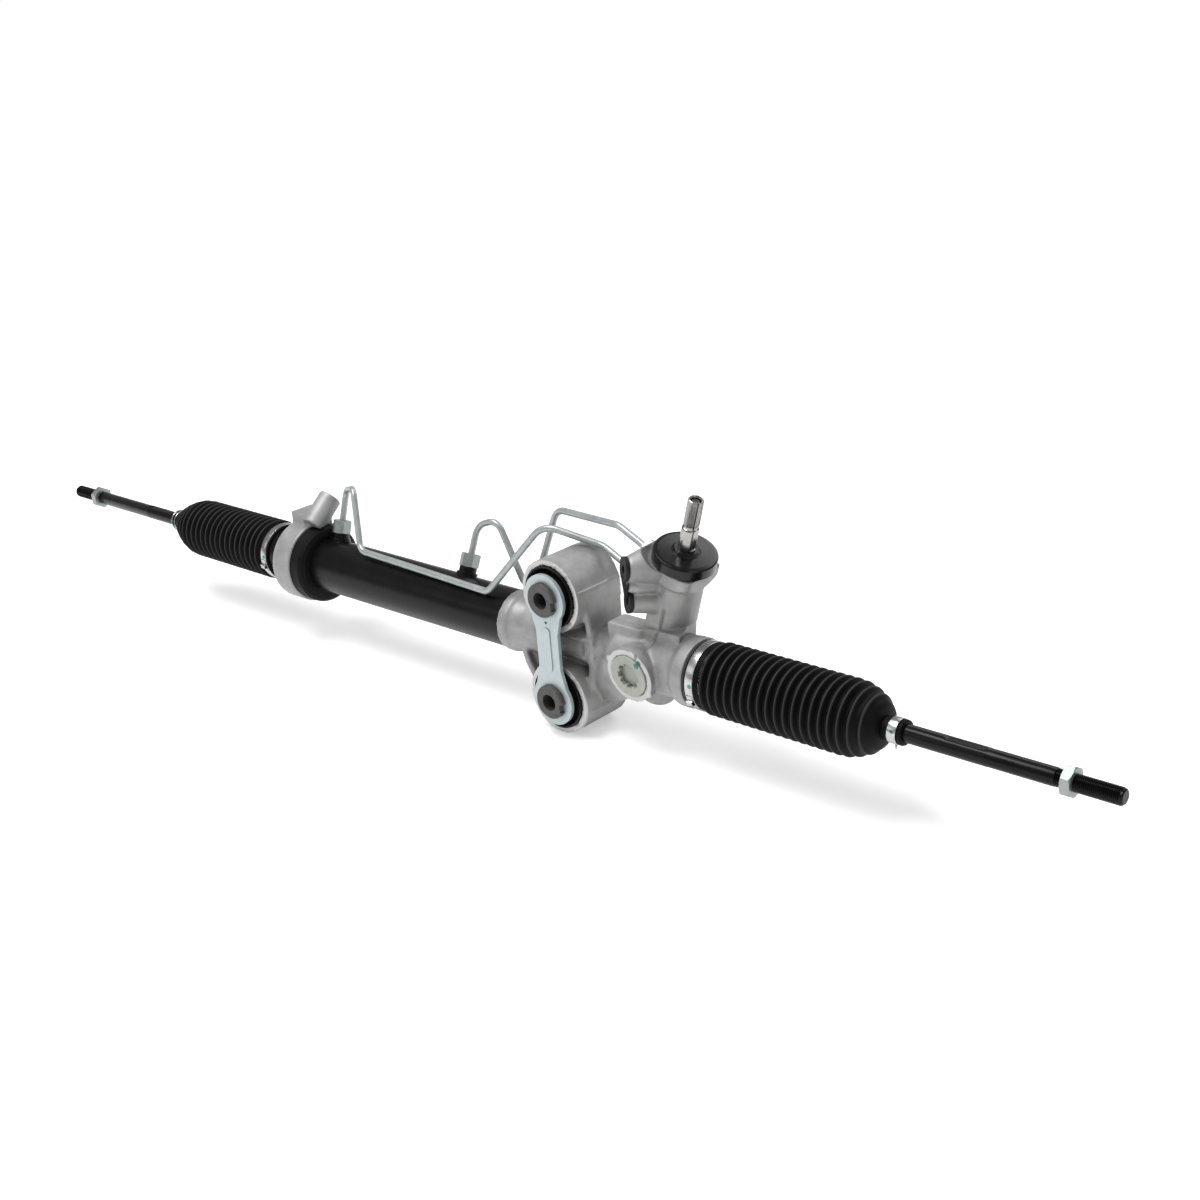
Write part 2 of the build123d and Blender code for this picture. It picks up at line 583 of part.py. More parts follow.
# ---------------------------------------------------------------- rack side
def make_rack_bar():
    bar = turn_x(
        [(LEFT_SHOULDER - STUB_LONG, 0), (RIGHT_SHOULDER + STUB_LONG, 0),
         (RIGHT_SHOULDER + STUB_LONG, STUB_R), (RIGHT_SHOULDER, STUB_R), (RIGHT_SHOULDER, RACK_R - 1),
         (RIGHT_SHOULDER - 1, RACK_R), (LEFT_SHOULDER + 1, RACK_R), (LEFT_SHOULDER, RACK_R - 1),
         (LEFT_SHOULDER, STUB_R), (LEFT_SHOULDER - STUB_LONG, STUB_R)]
    )
    flat_left = PINION_X - TOOTHED_HALF
    plane = Plane(origin=(0, 0, 0), x_dir=(1, 0, 0), z_dir=RISE)
    flat = Polyline((flat_left, RACK_TIP), (flat_left + 2 * TOOTHED_HALF, RACK_TIP),
                    (flat_left + 2 * TOOTHED_HALF + 6, RACK_R + 1), (flat_left - 6, RACK_R + 1), close=True)
    bar -= extrude(plane * make_face(flat), RACK_R + 1, both=True)
    bar -= rack_gaps()
    return bar


def make_piston():
    half = PISTON_LONG / 2
    return turn_x(
        [(PISTON_X - half, RACK_R), (PISTON_X + half, RACK_R), (PISTON_X + half, PISTON_R - 1),
         (PISTON_X + half - 1, PISTON_R), (PISTON_X + 2.5, PISTON_R), (PISTON_X + 2.5, PISTON_GROOVE_R),
         (PISTON_X - 2.5, PISTON_GROOVE_R), (PISTON_X - 2.5, PISTON_R), (PISTON_X - half + 1, PISTON_R),
         (PISTON_X - half, PISTON_R - 1)]
    )


def flip(shape, side):
    """Pieces of the left end are the right end's, turned about the vertical."""
    return shape if side > 0 else Rot(0, 0, 180) * shape


def make_socket(side):
    """Ball socket screwed on the rack's nose, drawn for the right end with its shoulder at X = 0."""
    reach = SOCKET_TO_BALL + SOCKET_LIP
    body = turn_x([(0, 0), (reach, 0), (reach, SOCKET_R - 4), (reach - 5, SOCKET_R), (16, SOCKET_R), (13, SOCKET_R - 2),
                   (0, SOCKET_R - 2)])
    body -= Pos(SOCKET_TO_BALL, 0, 0) * Sphere(BALL_R + SEAT_WALL)
    body -= turn_x([(-1, 0), (STUB_LONG, 0), (STUB_LONG, STUB_R), (-1, STUB_R)])
    body -= turn_x([(reach - 8, 0), (reach + 1, 0), (reach + 1, 11.6), (reach - 8, 8)])
    for a in (0, 180):
        body -= Rot(a, 0, 0) * Pos(6.5, 0, SOCKET_R - 1) * Box(13.2, 40, 6)
    shift = RIGHT_SHOULDER if side > 0 else LEFT_SHOULDER
    return Pos(shift, 0, 0) * flip(body, side)


def make_seat(side):
    body = Sphere(BALL_R + SEAT_WALL - RUN) - Sphere(BALL_R + RUN)
    body -= turn_x([(0, 0), (20, 0), (20, 16), (5, 10.2)])
    body -= Pos(16, 0, 0) * Box(20, 40, 40)
    return Pos(ball_x(side), 0, 0) * flip(body, side)


def ball_x(side):
    return RIGHT_SHOULDER + SOCKET_TO_BALL if side > 0 else LEFT_SHOULDER - SOCKET_TO_BALL


def make_tie_rod(side):
    """Ball, neck, shank with wrench flats and threaded end; distances are from the ball's centre."""
    centre = ball_x(side)
    end = abs((RIGHT_ROD_END if side > 0 else LEFT_ROD_END) - centre)
    flats = abs((RIGHT_FLATS if side > 0 else LEFT_FLATS) - centre)
    nut = abs((RIGHT_NUT if side > 0 else LEFT_NUT) - centre)
    neck = 6.5
    # the free thread is drawn at its full size, and the thread under the nut at the pitch line
    rod = turn_x([(0, 0), (end, 0), (end, THREAD_R - 1.5), (end - 2, THREAD_R), (nut + NUT_THICK / 2, THREAD_R),
                  (nut + NUT_THICK / 2, THREAD_PITCH_R), (nut - THREAD_RUN, THREAD_PITCH_R),
                  (nut - THREAD_RUN, THREAD_R), (nut - THREAD_RUN - 1, ROD_R), (flats + FLATS_LONG + 1, ROD_R),
                  (flats + FLATS_LONG, SHANK_R), (26, SHANK_R), (22, neck), (0, neck)])
    rod += Sphere(BALL_R)
    for a in (0, 180):
        rod -= Rot(a, 0, 0) * Pos(flats + FLATS_LONG / 2, 0, 6.3 + 2.5) * Box(FLATS_LONG - 4, 20, 5)
    return Pos(centre, 0, 0) * flip(rod, side)


def hex_nut(flats, thick, bore):
    """Hexagon nut along +Z from the origin, with both corners turned off."""
    corner = flats / 2 / cos(radians(30))
    nut = extrude(RegularPolygon(corner, 6), thick)
    edge = flats / 2 - 0.2
    cone = (corner - edge) * 0.55
    turned = make_face(Polyline((0, 0), (edge, 0), (corner + 0.1, cone), (corner + 0.1, thick - cone), (edge, thick),
                                (0, thick), close=True))
    nut &= revolve(Plane.XZ * turned, Axis.Z, 360)
    return nut - Cylinder(bore, 3 * thick)


def make_jam_nut(side):
    x = RIGHT_NUT if side > 0 else LEFT_NUT
    plane = Plane(origin=(x - NUT_THICK / 2, 0, 0), x_dir=(0, 0, 1), z_dir=(1, 0, 0))
    return plane * hex_nut(NUT_FLATS, NUT_THICK, THREAD_PITCH_R)


def make_bellows(side):
    """Gaiter: cuff on the housing, folds, dome and small cuff on the tie rod."""
    cuff = RIGHT_CUFF if side > 0 else -LEFT_CUFF
    small = RIGHT_SMALL if side > 0 else -LEFT_SMALL
    start = cuff + CUFF_LONG + 1
    end = RIGHT_FOLDS_END if side > 0 else -LEFT_FOLDS_END
    dome = small - end
    pitch = (end - start) / FOLDS
    outer = [(cuff, CUFF_R), (cuff + CUFF_LONG, CUFF_R)]
    for i in range(FOLDS):
        outer += [(start + pitch * i, VALLEY_R + 1.5), (start + pitch * (i + 0.5), CREST_R)]
    outer += [(end, VALLEY_R + 2), (end + dome * 0.25, 27), (end + dome * 0.55, 21), (small - 5, SMALL_CUFF_R)]
    tip = small + SMALL_CUFF_LONG
    inside = VALLEY_R - 2
    outer += [(tip, SMALL_CUFF_R)]
    inner = [(tip, SHANK_R + RUN), (small - 6, SHANK_R + RUN), (end + dome * 0.5, 19), (end, inside)]
    inner += [(start + 4, inside), (start + 1, TUBE_R), (cuff, TUBE_R)]
    body = turn_x(outer + inner)
    return body if side > 0 else Rot(0, 0, 180) * body


def make_big_clamp(side):
    cuff = RIGHT_CUFF if side > 0 else -LEFT_CUFF
    body = ring_x(cuff + 2, cuff + 2 + CLAMP_WIDE, CUFF_R + CLAMP_THICK, CUFF_R)
    ear = Pos(cuff + 2 + CLAMP_WIDE / 2, 0, CUFF_R + 1.8) * Box(CLAMP_WIDE - 2, 7, 3.6)
    body += Rot(CLAMP_EAR, 0, 0) * ear
    body -= turn_x([(cuff, 0), (cuff + 20, 0), (cuff + 20, CUFF_R), (cuff, CUFF_R)])
    return body if side > 0 else Rot(0, 0, 180) * body


def make_small_clamp(side):
    """Flat spring band round the small cuff, with a tang to squeeze at each side."""
    small = RIGHT_SMALL if side > 0 else -LEFT_SMALL
    half = CLAMP_WIDE / 2
    inner = SMALL_CUFF_R + RUN
    body = ring_x(small - half, small + half, inner + CLAMP_THICK, inner)
    for turn, x in ((SMALL_EAR, half - 1), (-SMALL_EAR, 1 - half)):
        body += Rot(turn, 0, 0) * Pos(small + x, 0, inner + 2) * Box(2, 3, 4)
    body -= ring_x(small - half - 1, small + half + 1, inner, 0.01)
    return body if side > 0 else Rot(0, 0, 180) * body


# ---------------------------------------------------------------- pinion side
def make_pinion():
    shaft = turn_valve(
        [(0, NUT_LOW - 2), (6, NUT_LOW - 2), (6, LOW_BEARING[0] - GAP), (JOURNAL_R, LOW_BEARING[0] - GAP),
         (JOURNAL_R, LOW_BEARING[1] + GAP), (10.5, LOW_BEARING[1] + GAP), (10.5, -FACE_HALF), (PINION_ROOT, -FACE_HALF),
         (PINION_ROOT, FACE_HALF), (10.5, FACE_HALF), (10.5, 19), (SLEEVE_BORE_R, 19),
         (SLEEVE_BORE_R, PINION_END), (TORSION_HEAD_R + RUN, PINION_END), (TORSION_HEAD_R + RUN, 24), (0, 24)]
    )
    return shaft + pinion_toothing()


def make_valve_sleeve():
    half = 2.5
    points = [(SLEEVE_BORE_R, VALVE_LOW), (SLEEVE_BORE_R, VALVE_HIGH), (VALVE_SLEEVE_R, VALVE_HIGH)]
    for z in reversed(VALVE_RINGS):
        points += [(VALVE_SLEEVE_R, z + 1), (15, z + 1), (15, z - 1), (VALVE_SLEEVE_R, z - 1)]
        if z != VALVE_RINGS[0]:
            low = z - VALVE_RING_STEP / 2
            points += [(VALVE_SLEEVE_R, low + half), (14.6, low + half), (14.6, low - half), (VALVE_SLEEVE_R, low - half)]
    points += [(VALVE_SLEEVE_R, VALVE_LOW)]
    return turn_valve(points)


def make_valve_rings():
    outer = VALVE_BORE_R - RUN
    rings = [turn_valve([(15, z - 1), (outer, z - 1), (outer, z + 1), (15, z + 1)]) for z in VALVE_RINGS]
    return rings[0] + rings[1:]


def torsion_pin(half):
    """Cross pin that holds the torsion bar in the input shaft, as long as twice a half length."""
    across = YOKE * cos(radians(PIN_TURN)) + SIDE * sin(radians(PIN_TURN))
    return cyl(FOOT + PINION * PIN_HEIGHT - across * half, across, PIN_R, 2 * half)


def pin_hole():
    return torsion_pin(12)


def make_input_shaft():
    shaft = turn_valve(
        [(TORSION_HEAD_R, PINION_END + 1), (SLEEVE_BORE_R - RUN, PINION_END + 1), (SLEEVE_BORE_R - RUN, VALVE_HIGH - 1),
         (INPUT_R, VALVE_HIGH - 1), (INPUT_R, TOWER_TOP), (SHAFT_R, TOWER_TOP + 1.5), (SHAFT_R, GROOVE),
         (SPLINE_R - 0.9, GROOVE + 0.8), (SPLINE_R - 0.9, GROOVE + 3), (SPLINE_R, GROOVE + 3.8),
         (SPLINE_R, SHAFT_TOP - 1), (SPLINE_R - 1, SHAFT_TOP), (TORSION_HEAD_R, SHAFT_TOP)]
    )
    # flat down one side for the joint's clamp bolt
    low = COVER_TOP + 4
    flat = VALVE * Pos(0, SHAFT_FLAT, low) * Box(4 * SHAFT_R, 2 * SHAFT_R, SHAFT_TOP - low + 1,
                                                 align=(Align.CENTER, Align.MIN, Align.MIN))
    return shaft - flat - pin_hole()


def make_torsion_bar():
    bar = turn_valve(
        [(0, 26), (TORSION_HEAD_R, 26), (TORSION_HEAD_R, 36), (TORSION_R, 42), (TORSION_R, 132),
         (TORSION_HEAD_R, 138), (TORSION_HEAD_R, SHAFT_TOP - 3), (TORSION_HEAD_R - 1, SHAFT_TOP - 2),
         (0, SHAFT_TOP - 2)]
    )
    return bar - pin_hole()


def make_dust_cover():
    return turn_valve(
        [(SHAFT_R + RUN, TOWER_TOP + 8), (SHAFT_R + RUN, COVER_TOP + 3), (10.5, COVER_TOP + 3), (12.5, COVER_TOP),
         (24, COVER_TOP - 0.5), (COVER_R - 1, COVER_TOP - 1), (COVER_R, COVER_TOP - 2.2), (COVER_R, TOWER_TOP + 1),
         (COVER_R - 1, TOWER_TOP), (SEAL_SEAT_R + 1, TOWER_TOP), (SEAL_SEAT_R + 1, TOWER_TOP + 6),
         (12, TOWER_TOP + 8)]
    )


def ring_valve(low, high, outer, inner):
    return turn_valve([(inner, low), (outer, low), (outer, high), (inner, high)])


def make_bottom_cap():
    low = TOWER_BOTTOM + 0.5
    cap = turn_valve([(0, low), (BOTTOM_CAP_R, low), (BOTTOM_CAP_R, NUT_LOW - 3), (0, NUT_LOW - 3)])
    return cap - extrude(VALVE * Pos(0, 0, low - 1) * RegularPolygon(6, 6), 3.5)


def make_port_plugs():
    body = None
    ends = []
    for (height, reach), lift in zip(OUTER_PORTS, (4, 3)):
        out, at = around_valve(height, OUTER_TURN)
        ends.append((at + out * (reach + lift), out))
        plug = cyl(at + out * (reach - 8), out, PORT_BORE_R, 8) + cyl(at + out * reach, out, OUTER_PORT_R, 3)
        plug -= cyl(at + out * (reach - 4), out, 3.6, 10)
        body = plug if body is None else body + plug
    (a, out), (b, _) = ends
    middle = (a + b) * 0.5
    along = (a - b).normalized()
    bar = Plane(origin=middle, x_dir=along, z_dir=along.cross(out).cross(along) * -1)
    strap = extrude(bar * Rectangle((a - b).length - OUTER_PORT_R, 5), 1.6, both=True)
    for height, reach in OUTER_PORTS:
        out, at = around_valve(height, OUTER_TURN)
        strap -= cyl(at, out, OUTER_PORT_R + 1.5, reach)
    return body + strap


# ---------------------------------------------------------------- yoke
def make_plunger():
    body = cyl(YOKE_CENTRE + YOKE * 3, YOKE, YOKE_R - RUN, PLUNGER_BACK - 3)
    body -= turn_x([(0, 0), (200, 0), (200, RACK_R + RUN + LINER), (0, RACK_R + RUN + LINER)])
    body -= cyl(YOKE_CENTRE + YOKE * SPRING_SEAT, YOKE, 8.5, 10)
    groove = cyl(YOKE_CENTRE + YOKE * O_RING, YOKE, YOKE_R + 1, 2.4) - cyl(YOKE_CENTRE, YOKE, 15, 60)
    return body - groove


def make_liner():
    body = cyl(YOKE_CENTRE + YOKE * 3, YOKE, YOKE_R - 1, 20)
    return body & ring_x(PINION_X - 16, PINION_X + 16, RACK_R + RUN + LINER, RACK_R + RUN)


def make_o_ring():
    return cyl(YOKE_CENTRE + YOKE * O_RING, YOKE, YOKE_R, 2.4) - cyl(YOKE_CENTRE, YOKE, 15, 60)


def make_yoke_spring():
    """Stack of four disc springs, each cupped against the next."""
    stack = PLUG_FACE - PLUG_LONG + 1.5 - SPRING_SEAT
    high = stack / DISCS
    thick = high * 0.45
    cup = [(DISC_BORE_R, high), (DISC_BORE_R + 0.6, high), (DISC_R, thick), (DISC_R, 0), (DISC_R - 0.6, 0),
           (DISC_BORE_R, high - thick)]
    discs = []
    for k in range(DISCS):
        points = [(r, z if k % 2 else high - z) for r, z in cup]
        disc = revolve(Plane.XZ * make_face(Polyline(*points, close=True)), Axis.Z, 360)
        plane = Plane(origin=YOKE_CENTRE + YOKE * (SPRING_SEAT + k * high), x_dir=(1, 0, 0), z_dir=YOKE)
        discs.append((plane.location * disc).solid())
    return Compound(discs)


def make_yoke_plug():
    plug = cyl(YOKE_CENTRE + YOKE * (PLUG_FACE - PLUG_LONG), YOKE, PLUG_R, PLUG_LONG)
    plug -= cyl(YOKE_CENTRE + YOKE * (PLUG_FACE - PLUG_LONG - 1), YOKE, 8.5, 2.5)
    face = Plane(origin=YOKE_CENTRE + YOKE * (PLUG_FACE - PLUG_SOCKET), x_dir=(1, 0, 0), z_dir=YOKE)
    for turn in (0, 30):
        plug -= extrude(face * Rot(0, 0, turn) * RegularPolygon(SOCKET_CORNER, 6), PLUG_SOCKET + 1)
    return plug


# ---------------------------------------------------------------- mounting bushes
def turn_bush(points, z):
    """Solid of revolution about a bolt axis from (radius, y) points."""
    face = make_face(Polyline(*[(r, y) for r, y in points], close=True))
    return Pos(0, 0, z) * revolve(Plane.XY * face, Axis.Y, 360)


def make_shell(side):
    inner = SHELL_R - SHELL_WALL
    z = side * BUSH_Z
    return turn_bush([(inner, BOSS_FRONT - 2), (SHELL_R, BOSS_FRONT - 2), (SHELL_R, BOSS_BACK + 2), (inner, BOSS_BACK + 2)], z)


def make_rubber(side):
    outer = SHELL_R - SHELL_WALL
    inner = SLEEVE_BODY_R
    return turn_bush(
        [(inner, PLATE_BACK), (SLEEVE_R + 4, PLATE_BACK), (SLEEVE_R + 5, BOSS_FRONT + 3), (outer - 2.5, BOSS_FRONT + 6),
         (outer - 1, BOSS_FRONT), (outer, BOSS_FRONT), (outer, BOSS_BACK), (outer - 1, BOSS_BACK), (outer - 2.5, BOSS_BACK - 6),
         (SLEEVE_R + 4, BOSS_BACK - 5), (SLEEVE_R, BOSS_BACK + 2), (inner, BOSS_BACK + 2)],
        side * BUSH_Z,
    )


def make_sleeve(side):
    z = side * BUSH_Z
    body = turn_bush(
        [(BOLT_R, SLEEVE_FRONT), (SLEEVE_R - 1, SLEEVE_FRONT), (SLEEVE_R, SLEEVE_FRONT + 1), (SLEEVE_R, PLATE_BACK),
         (SLEEVE_BODY_R, PLATE_BACK), (SLEEVE_BODY_R, SLEEVE_BACK), (BOLT_R, SLEEVE_BACK)],
        z,
    )
    key = Pos(SLEEVE_R, SLEEVE_FRONT, z - 3) * Box(2 * KEY_DEEP, 30, KEY_WIDE)
    return body - (key & Pos(0, PLATE_BACK - 15, z) * Box(60, 30, 60))


def make_link_plate():
    plane = Plane(origin=(0, PLATE_BACK, 0), x_dir=(1, 0, 0), z_dir=(0, -1, 0))
    half = PLATE_WAIST / 2
    outline = Rectangle(2 * half, 2 * BUSH_Z)
    for z in (BUSH_Z, -BUSH_Z):
        outline += Pos(0, z) * Circle(PLATE_EYE)
        away = -1 if z > 0 else 1
        shoulder = make_face(Polyline((-PLATE_EYE + 1, z), (PLATE_EYE - 1, z), (half, z + away * 32),
                                      (-half, z + away * 32), close=True))
        outline += shoulder
    for z in (BUSH_Z, -BUSH_Z):
        outline -= Pos(0, z) * Circle(SLEEVE_R)
        outline += Pos(SLEEVE_R - KEY_DEEP / 2, z - 3) * Rectangle(KEY_DEEP, KEY_WIDE)
    plate = extrude(plane * outline, PLATE_THICK)
    plate += extrude(plane * Pos(0, 1, PLATE_THICK) * SlotOverall(42, 8, rotation=90), 0.8)
    plate -= extrude(plane * Pos(0, 27, -1) * Circle(1.3), PLATE_THICK + 2)
    return plate


# ---------------------------------------------------------------- lines
def nut_at(seat, out):
    plane = Plane(origin=seat, z_dir=out)
    return plane * hex_nut(FLARE_FLATS, FLARE_LONG, LINE_R)


def make_flare_nuts():
    nuts = []
    for x, tilt in ((END_PORT_X, PORT_TILT), (MID_PORT_X, MID_PORT_TILT)):
        out, at = port_line(x, tilt)
        nuts.append(nut_at(at + out * PORT_TOP, out))
    for height in LINE_PORTS:
        out, at = around_valve(height, LINE_TURN)
        nuts.append(nut_at(at + out * LINE_SEAT, out))
    return nuts[0] + nuts[1:]


def make_line(x, tilt, height, corners, bends):
    """Line from a port on the tube to a port on the valve tower, through its bend corners."""
    rise, foot = port_line(x, tilt)
    out, at = around_valve(height, LINE_TURN)
    points = [foot + rise * (PORT_TOP - 2)] + corners + [at + out * (LINE_SEAT - 2)]
    return pipe_run(points, LINE_R, bends)


def front_corners():
    rise, foot = port_line(END_PORT_X, PORT_TILT)
    out, at = around_valve(LINE_PORTS[0], LINE_TURN)
    return [foot + rise * FRONT_RISE] + [Vector(*bend) for bend in FRONT_BENDS] + [at + out * FRONT_REACH]


def rear_corners():
    rise, foot = port_line(MID_PORT_X, MID_PORT_TILT)
    out, at = around_valve(LINE_PORTS[1], LINE_TURN)
    return [foot + rise * REAR_RISE] + [Vector(*bend) for bend in REAR_BENDS] + [at + out * REAR_REACH]


# ---------------------------------------------------------------- all pieces
PARTS = {
    "pinion_housing": make_housing(),
    "cylinder_tube": make_tube(),
    "end_bush": make_end_bush(),
    "end_bracket": make_end_bracket(),
    "cylinder_bulkhead": make_bulkhead(),
    "rack_bushing": ring_x(BULKHEAD_LEFT, BULKHEAD_LEFT + BUSHING_LONG, BUSHING_R, RACK_R + RUN),
    "retaining_ring": ring_x(BULKHEAD_LEFT - RETAINER_WIDE, BULKHEAD_LEFT, TUBE_BORE_R + 1.5, TUBE_BORE_R - 2.5),
    "outer_rack_seal": make_seal(CHAMBER_LEFT - SEAL_WIDE, CHAMBER_LEFT),
    "inner_rack_seal": make_seal(SPIGOT_END, SPIGOT_END + 12),
    "upper_bush_shell": make_shell(1),
    "lower_bush_shell": make_shell(-1),
    "upper_bush_rubber": make_rubber(1),
    "lower_bush_rubber": make_rubber(-1),
    "upper_bush_sleeve": make_sleeve(1),
    "lower_bush_sleeve": make_sleeve(-1),
    "bush_link_plate": make_link_plate(),
    "yoke_plunger": make_plunger(),
    "yoke_liner": make_liner(),
    "yoke_o_ring": make_o_ring(),
    "yoke_spring": make_yoke_spring(),
    "yoke_plug": make_yoke_plug(),
    "lower_pinion_bearing": ring_valve(LOW_BEARING[0], LOW_BEARING[1], LOW_BEARING_R, JOURNAL_R + RUN),
    "upper_pinion_bearing": ring_valve(20, 32, TOP_BEARING_R, SLEEVE_BORE_R + RUN),
    "input_bearing": ring_valve(VALVE_HIGH + 0.5, 84, VALVE_BORE_R, INPUT_R + RUN),
    "input_seal": ring_valve(84, 92, SEAL_SEAT_R, INPUT_R + RUN),
    "bottom_cap": make_bottom_cap(),
    "dust_cover": make_dust_cover(),
    "port_plugs": make_port_plugs(),
    "flare_nuts": make_flare_nuts(),
    "front_line": make_line(END_PORT_X, PORT_TILT, LINE_PORTS[0], front_corners(), FRONT_RADII),
    "rear_line": make_line(MID_PORT_X, MID_PORT_TILT, LINE_PORTS[1], rear_corners(), REAR_RADII),
    "left_big_clamp": make_big_clamp(-1),
    "right_big_clamp": make_big_clamp(1),
    "left_bellows": make_bellows(-1),
    "right_bellows": make_bellows(1),
    "rack_bar": make_rack_bar(),
    "piston": make_piston(),
    "piston_ring": ring_x(PISTON_X - 2.5, PISTON_X + 2.5, TUBE_BORE_R - RUN, PISTON_GROOVE_R),
    "left_ball_socket": make_socket(-1),
    "right_ball_socket": make_socket(1),
    "left_ball_seat": make_seat(-1),
    "right_ball_seat": make_seat(1),
    "left_tie_rod": make_tie_rod(-1),
    "right_tie_rod": make_tie_rod(1),
    "left_jam_nut": make_jam_nut(-1),
    "right_jam_nut": make_jam_nut(1),
    "left_small_clamp": make_small_clamp(-1),
    "right_small_clamp": make_small_clamp(1),
    "pinion_gear": make_pinion(),
    "pinion_nut": VALVE.location * Pos(0, 0, NUT_LOW) * hex_nut(17, LOW_BEARING[0] - GAP - NUT_LOW, 6),
    "valve_sleeve": make_valve_sleeve(),
    "valve_rings": make_valve_rings(),
    "input_shaft": make_input_shaft(),
    "torsion_bar": make_torsion_bar(),
    "torsion_pin": torsion_pin(SPLINE_R - 0.6),
}

os.makedirs("parts", exist_ok=True)
for name, shape in PARTS.items():
    export_step(Pos(0, 0, -BUSH_Z) * shape, "parts/" + name + ".step")
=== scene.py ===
# %% [markdown]
# A power steering rack, dressed over its solid model.
# The solids already hold every rigid piece in its place, so the work here is finish and fine form:
# cast skin, paint, rubber, plating, screw threads, serrations and folded gaiters.
# Everything below is in metres and in the frame of the solids.

# %% Load the solids
import math

import bmesh
import bpy
import numpy as np
from mathutils import Matrix, Vector


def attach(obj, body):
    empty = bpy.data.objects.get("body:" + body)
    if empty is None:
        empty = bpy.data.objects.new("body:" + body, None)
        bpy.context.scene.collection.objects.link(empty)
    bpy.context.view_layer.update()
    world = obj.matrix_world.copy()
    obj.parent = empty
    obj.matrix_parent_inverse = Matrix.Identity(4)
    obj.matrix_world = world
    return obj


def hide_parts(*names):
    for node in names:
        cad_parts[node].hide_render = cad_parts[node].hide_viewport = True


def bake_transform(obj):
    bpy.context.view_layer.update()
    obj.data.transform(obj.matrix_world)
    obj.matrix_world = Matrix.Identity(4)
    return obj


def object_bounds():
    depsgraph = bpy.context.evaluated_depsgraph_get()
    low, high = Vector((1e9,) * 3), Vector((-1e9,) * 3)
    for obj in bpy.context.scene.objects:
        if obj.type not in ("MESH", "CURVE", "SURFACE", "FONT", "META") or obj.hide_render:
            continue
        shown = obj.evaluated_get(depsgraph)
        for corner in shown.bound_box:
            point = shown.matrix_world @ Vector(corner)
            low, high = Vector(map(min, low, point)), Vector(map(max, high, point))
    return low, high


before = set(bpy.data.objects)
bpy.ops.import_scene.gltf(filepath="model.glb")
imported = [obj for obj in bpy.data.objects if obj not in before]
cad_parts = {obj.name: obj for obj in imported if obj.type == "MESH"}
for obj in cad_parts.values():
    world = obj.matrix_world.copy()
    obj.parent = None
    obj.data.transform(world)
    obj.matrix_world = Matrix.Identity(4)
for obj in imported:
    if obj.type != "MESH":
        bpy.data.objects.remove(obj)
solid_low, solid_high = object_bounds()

MM = 0.001
BUSH_Z = 49.0
print("solids", len(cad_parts), "box", [round(c, 3) for c in (*solid_low, *solid_high)])

# %% [markdown]
# The rack is long and thin, so the camera stands off its pinion end and looks back along it. A camera is
# a point, a direction and a roll; writing the three directions as a matrix keeps the small roll exact.
# The lens is long enough to keep the far tie rod from shrinking too much.

# %% Camera
CAMERA_AT = Vector((0.96831, -0.96976, 0.52738))
CAMERA_RIGHT = Vector((0.73695814, 0.67207939, -0.07212483))
CAMERA_UP = Vector((-0.19926261, 0.31797201, 0.92692406))
LENS_MM = 49.5

camera_data = bpy.data.cameras.new("camera")
camera_data.lens = LENS_MM
camera_data.sensor_width = 36.0
camera_data.clip_end = 50.0
camera = bpy.data.objects.new("camera", camera_data)
bpy.context.scene.collection.objects.link(camera)
back = CAMERA_RIGHT.cross(CAMERA_UP)
turn = Matrix((CAMERA_RIGHT, CAMERA_UP, back)).transposed()
camera.matrix_world = Matrix.Translation(CAMERA_AT) @ turn.to_4x4()
bpy.context.scene.camera = camera
print("camera", [round(c, 3) for c in CAMERA_AT])

# %% [markdown]
# A finish is a small network of nodes. Written as sums and products it reads like the thought behind it:
# a dark tone times a mask plus a light tone times the rest. Wire is a socket that can be added and
# multiplied; every sum adds the Math node that stands for it.

# %% Sums of sockets
class Wire:
    """A socket that takes part in sums and products."""

    def __init__(self, finish, socket):
        self.finish, self.socket = finish, socket

    def __add__(self, other):
        return self.finish.maths("ADD", self, other)

    def __sub__(self, other):
        return self.finish.maths("SUBTRACT", self, other)

    def __rsub__(self, other):
        return self.finish.maths("SUBTRACT", other, self)

    def __mul__(self, other):
        return self.finish.maths("MULTIPLY", self, other)

    def __pow__(self, other):
        return self.finish.maths("POWER", self, other)

    def __gt__(self, other):
        return self.finish.maths("GREATER_THAN", self, other)

    def __lt__(self, other):
        return self.finish.maths("LESS_THAN", self, other)

    def clamped(self):
        return self.finish.maths("MINIMUM", self.finish.maths("MAXIMUM", self, 0.0), 1.0)

    __radd__ = __add__
    __rmul__ = __mul__


print("sums of sockets ready")
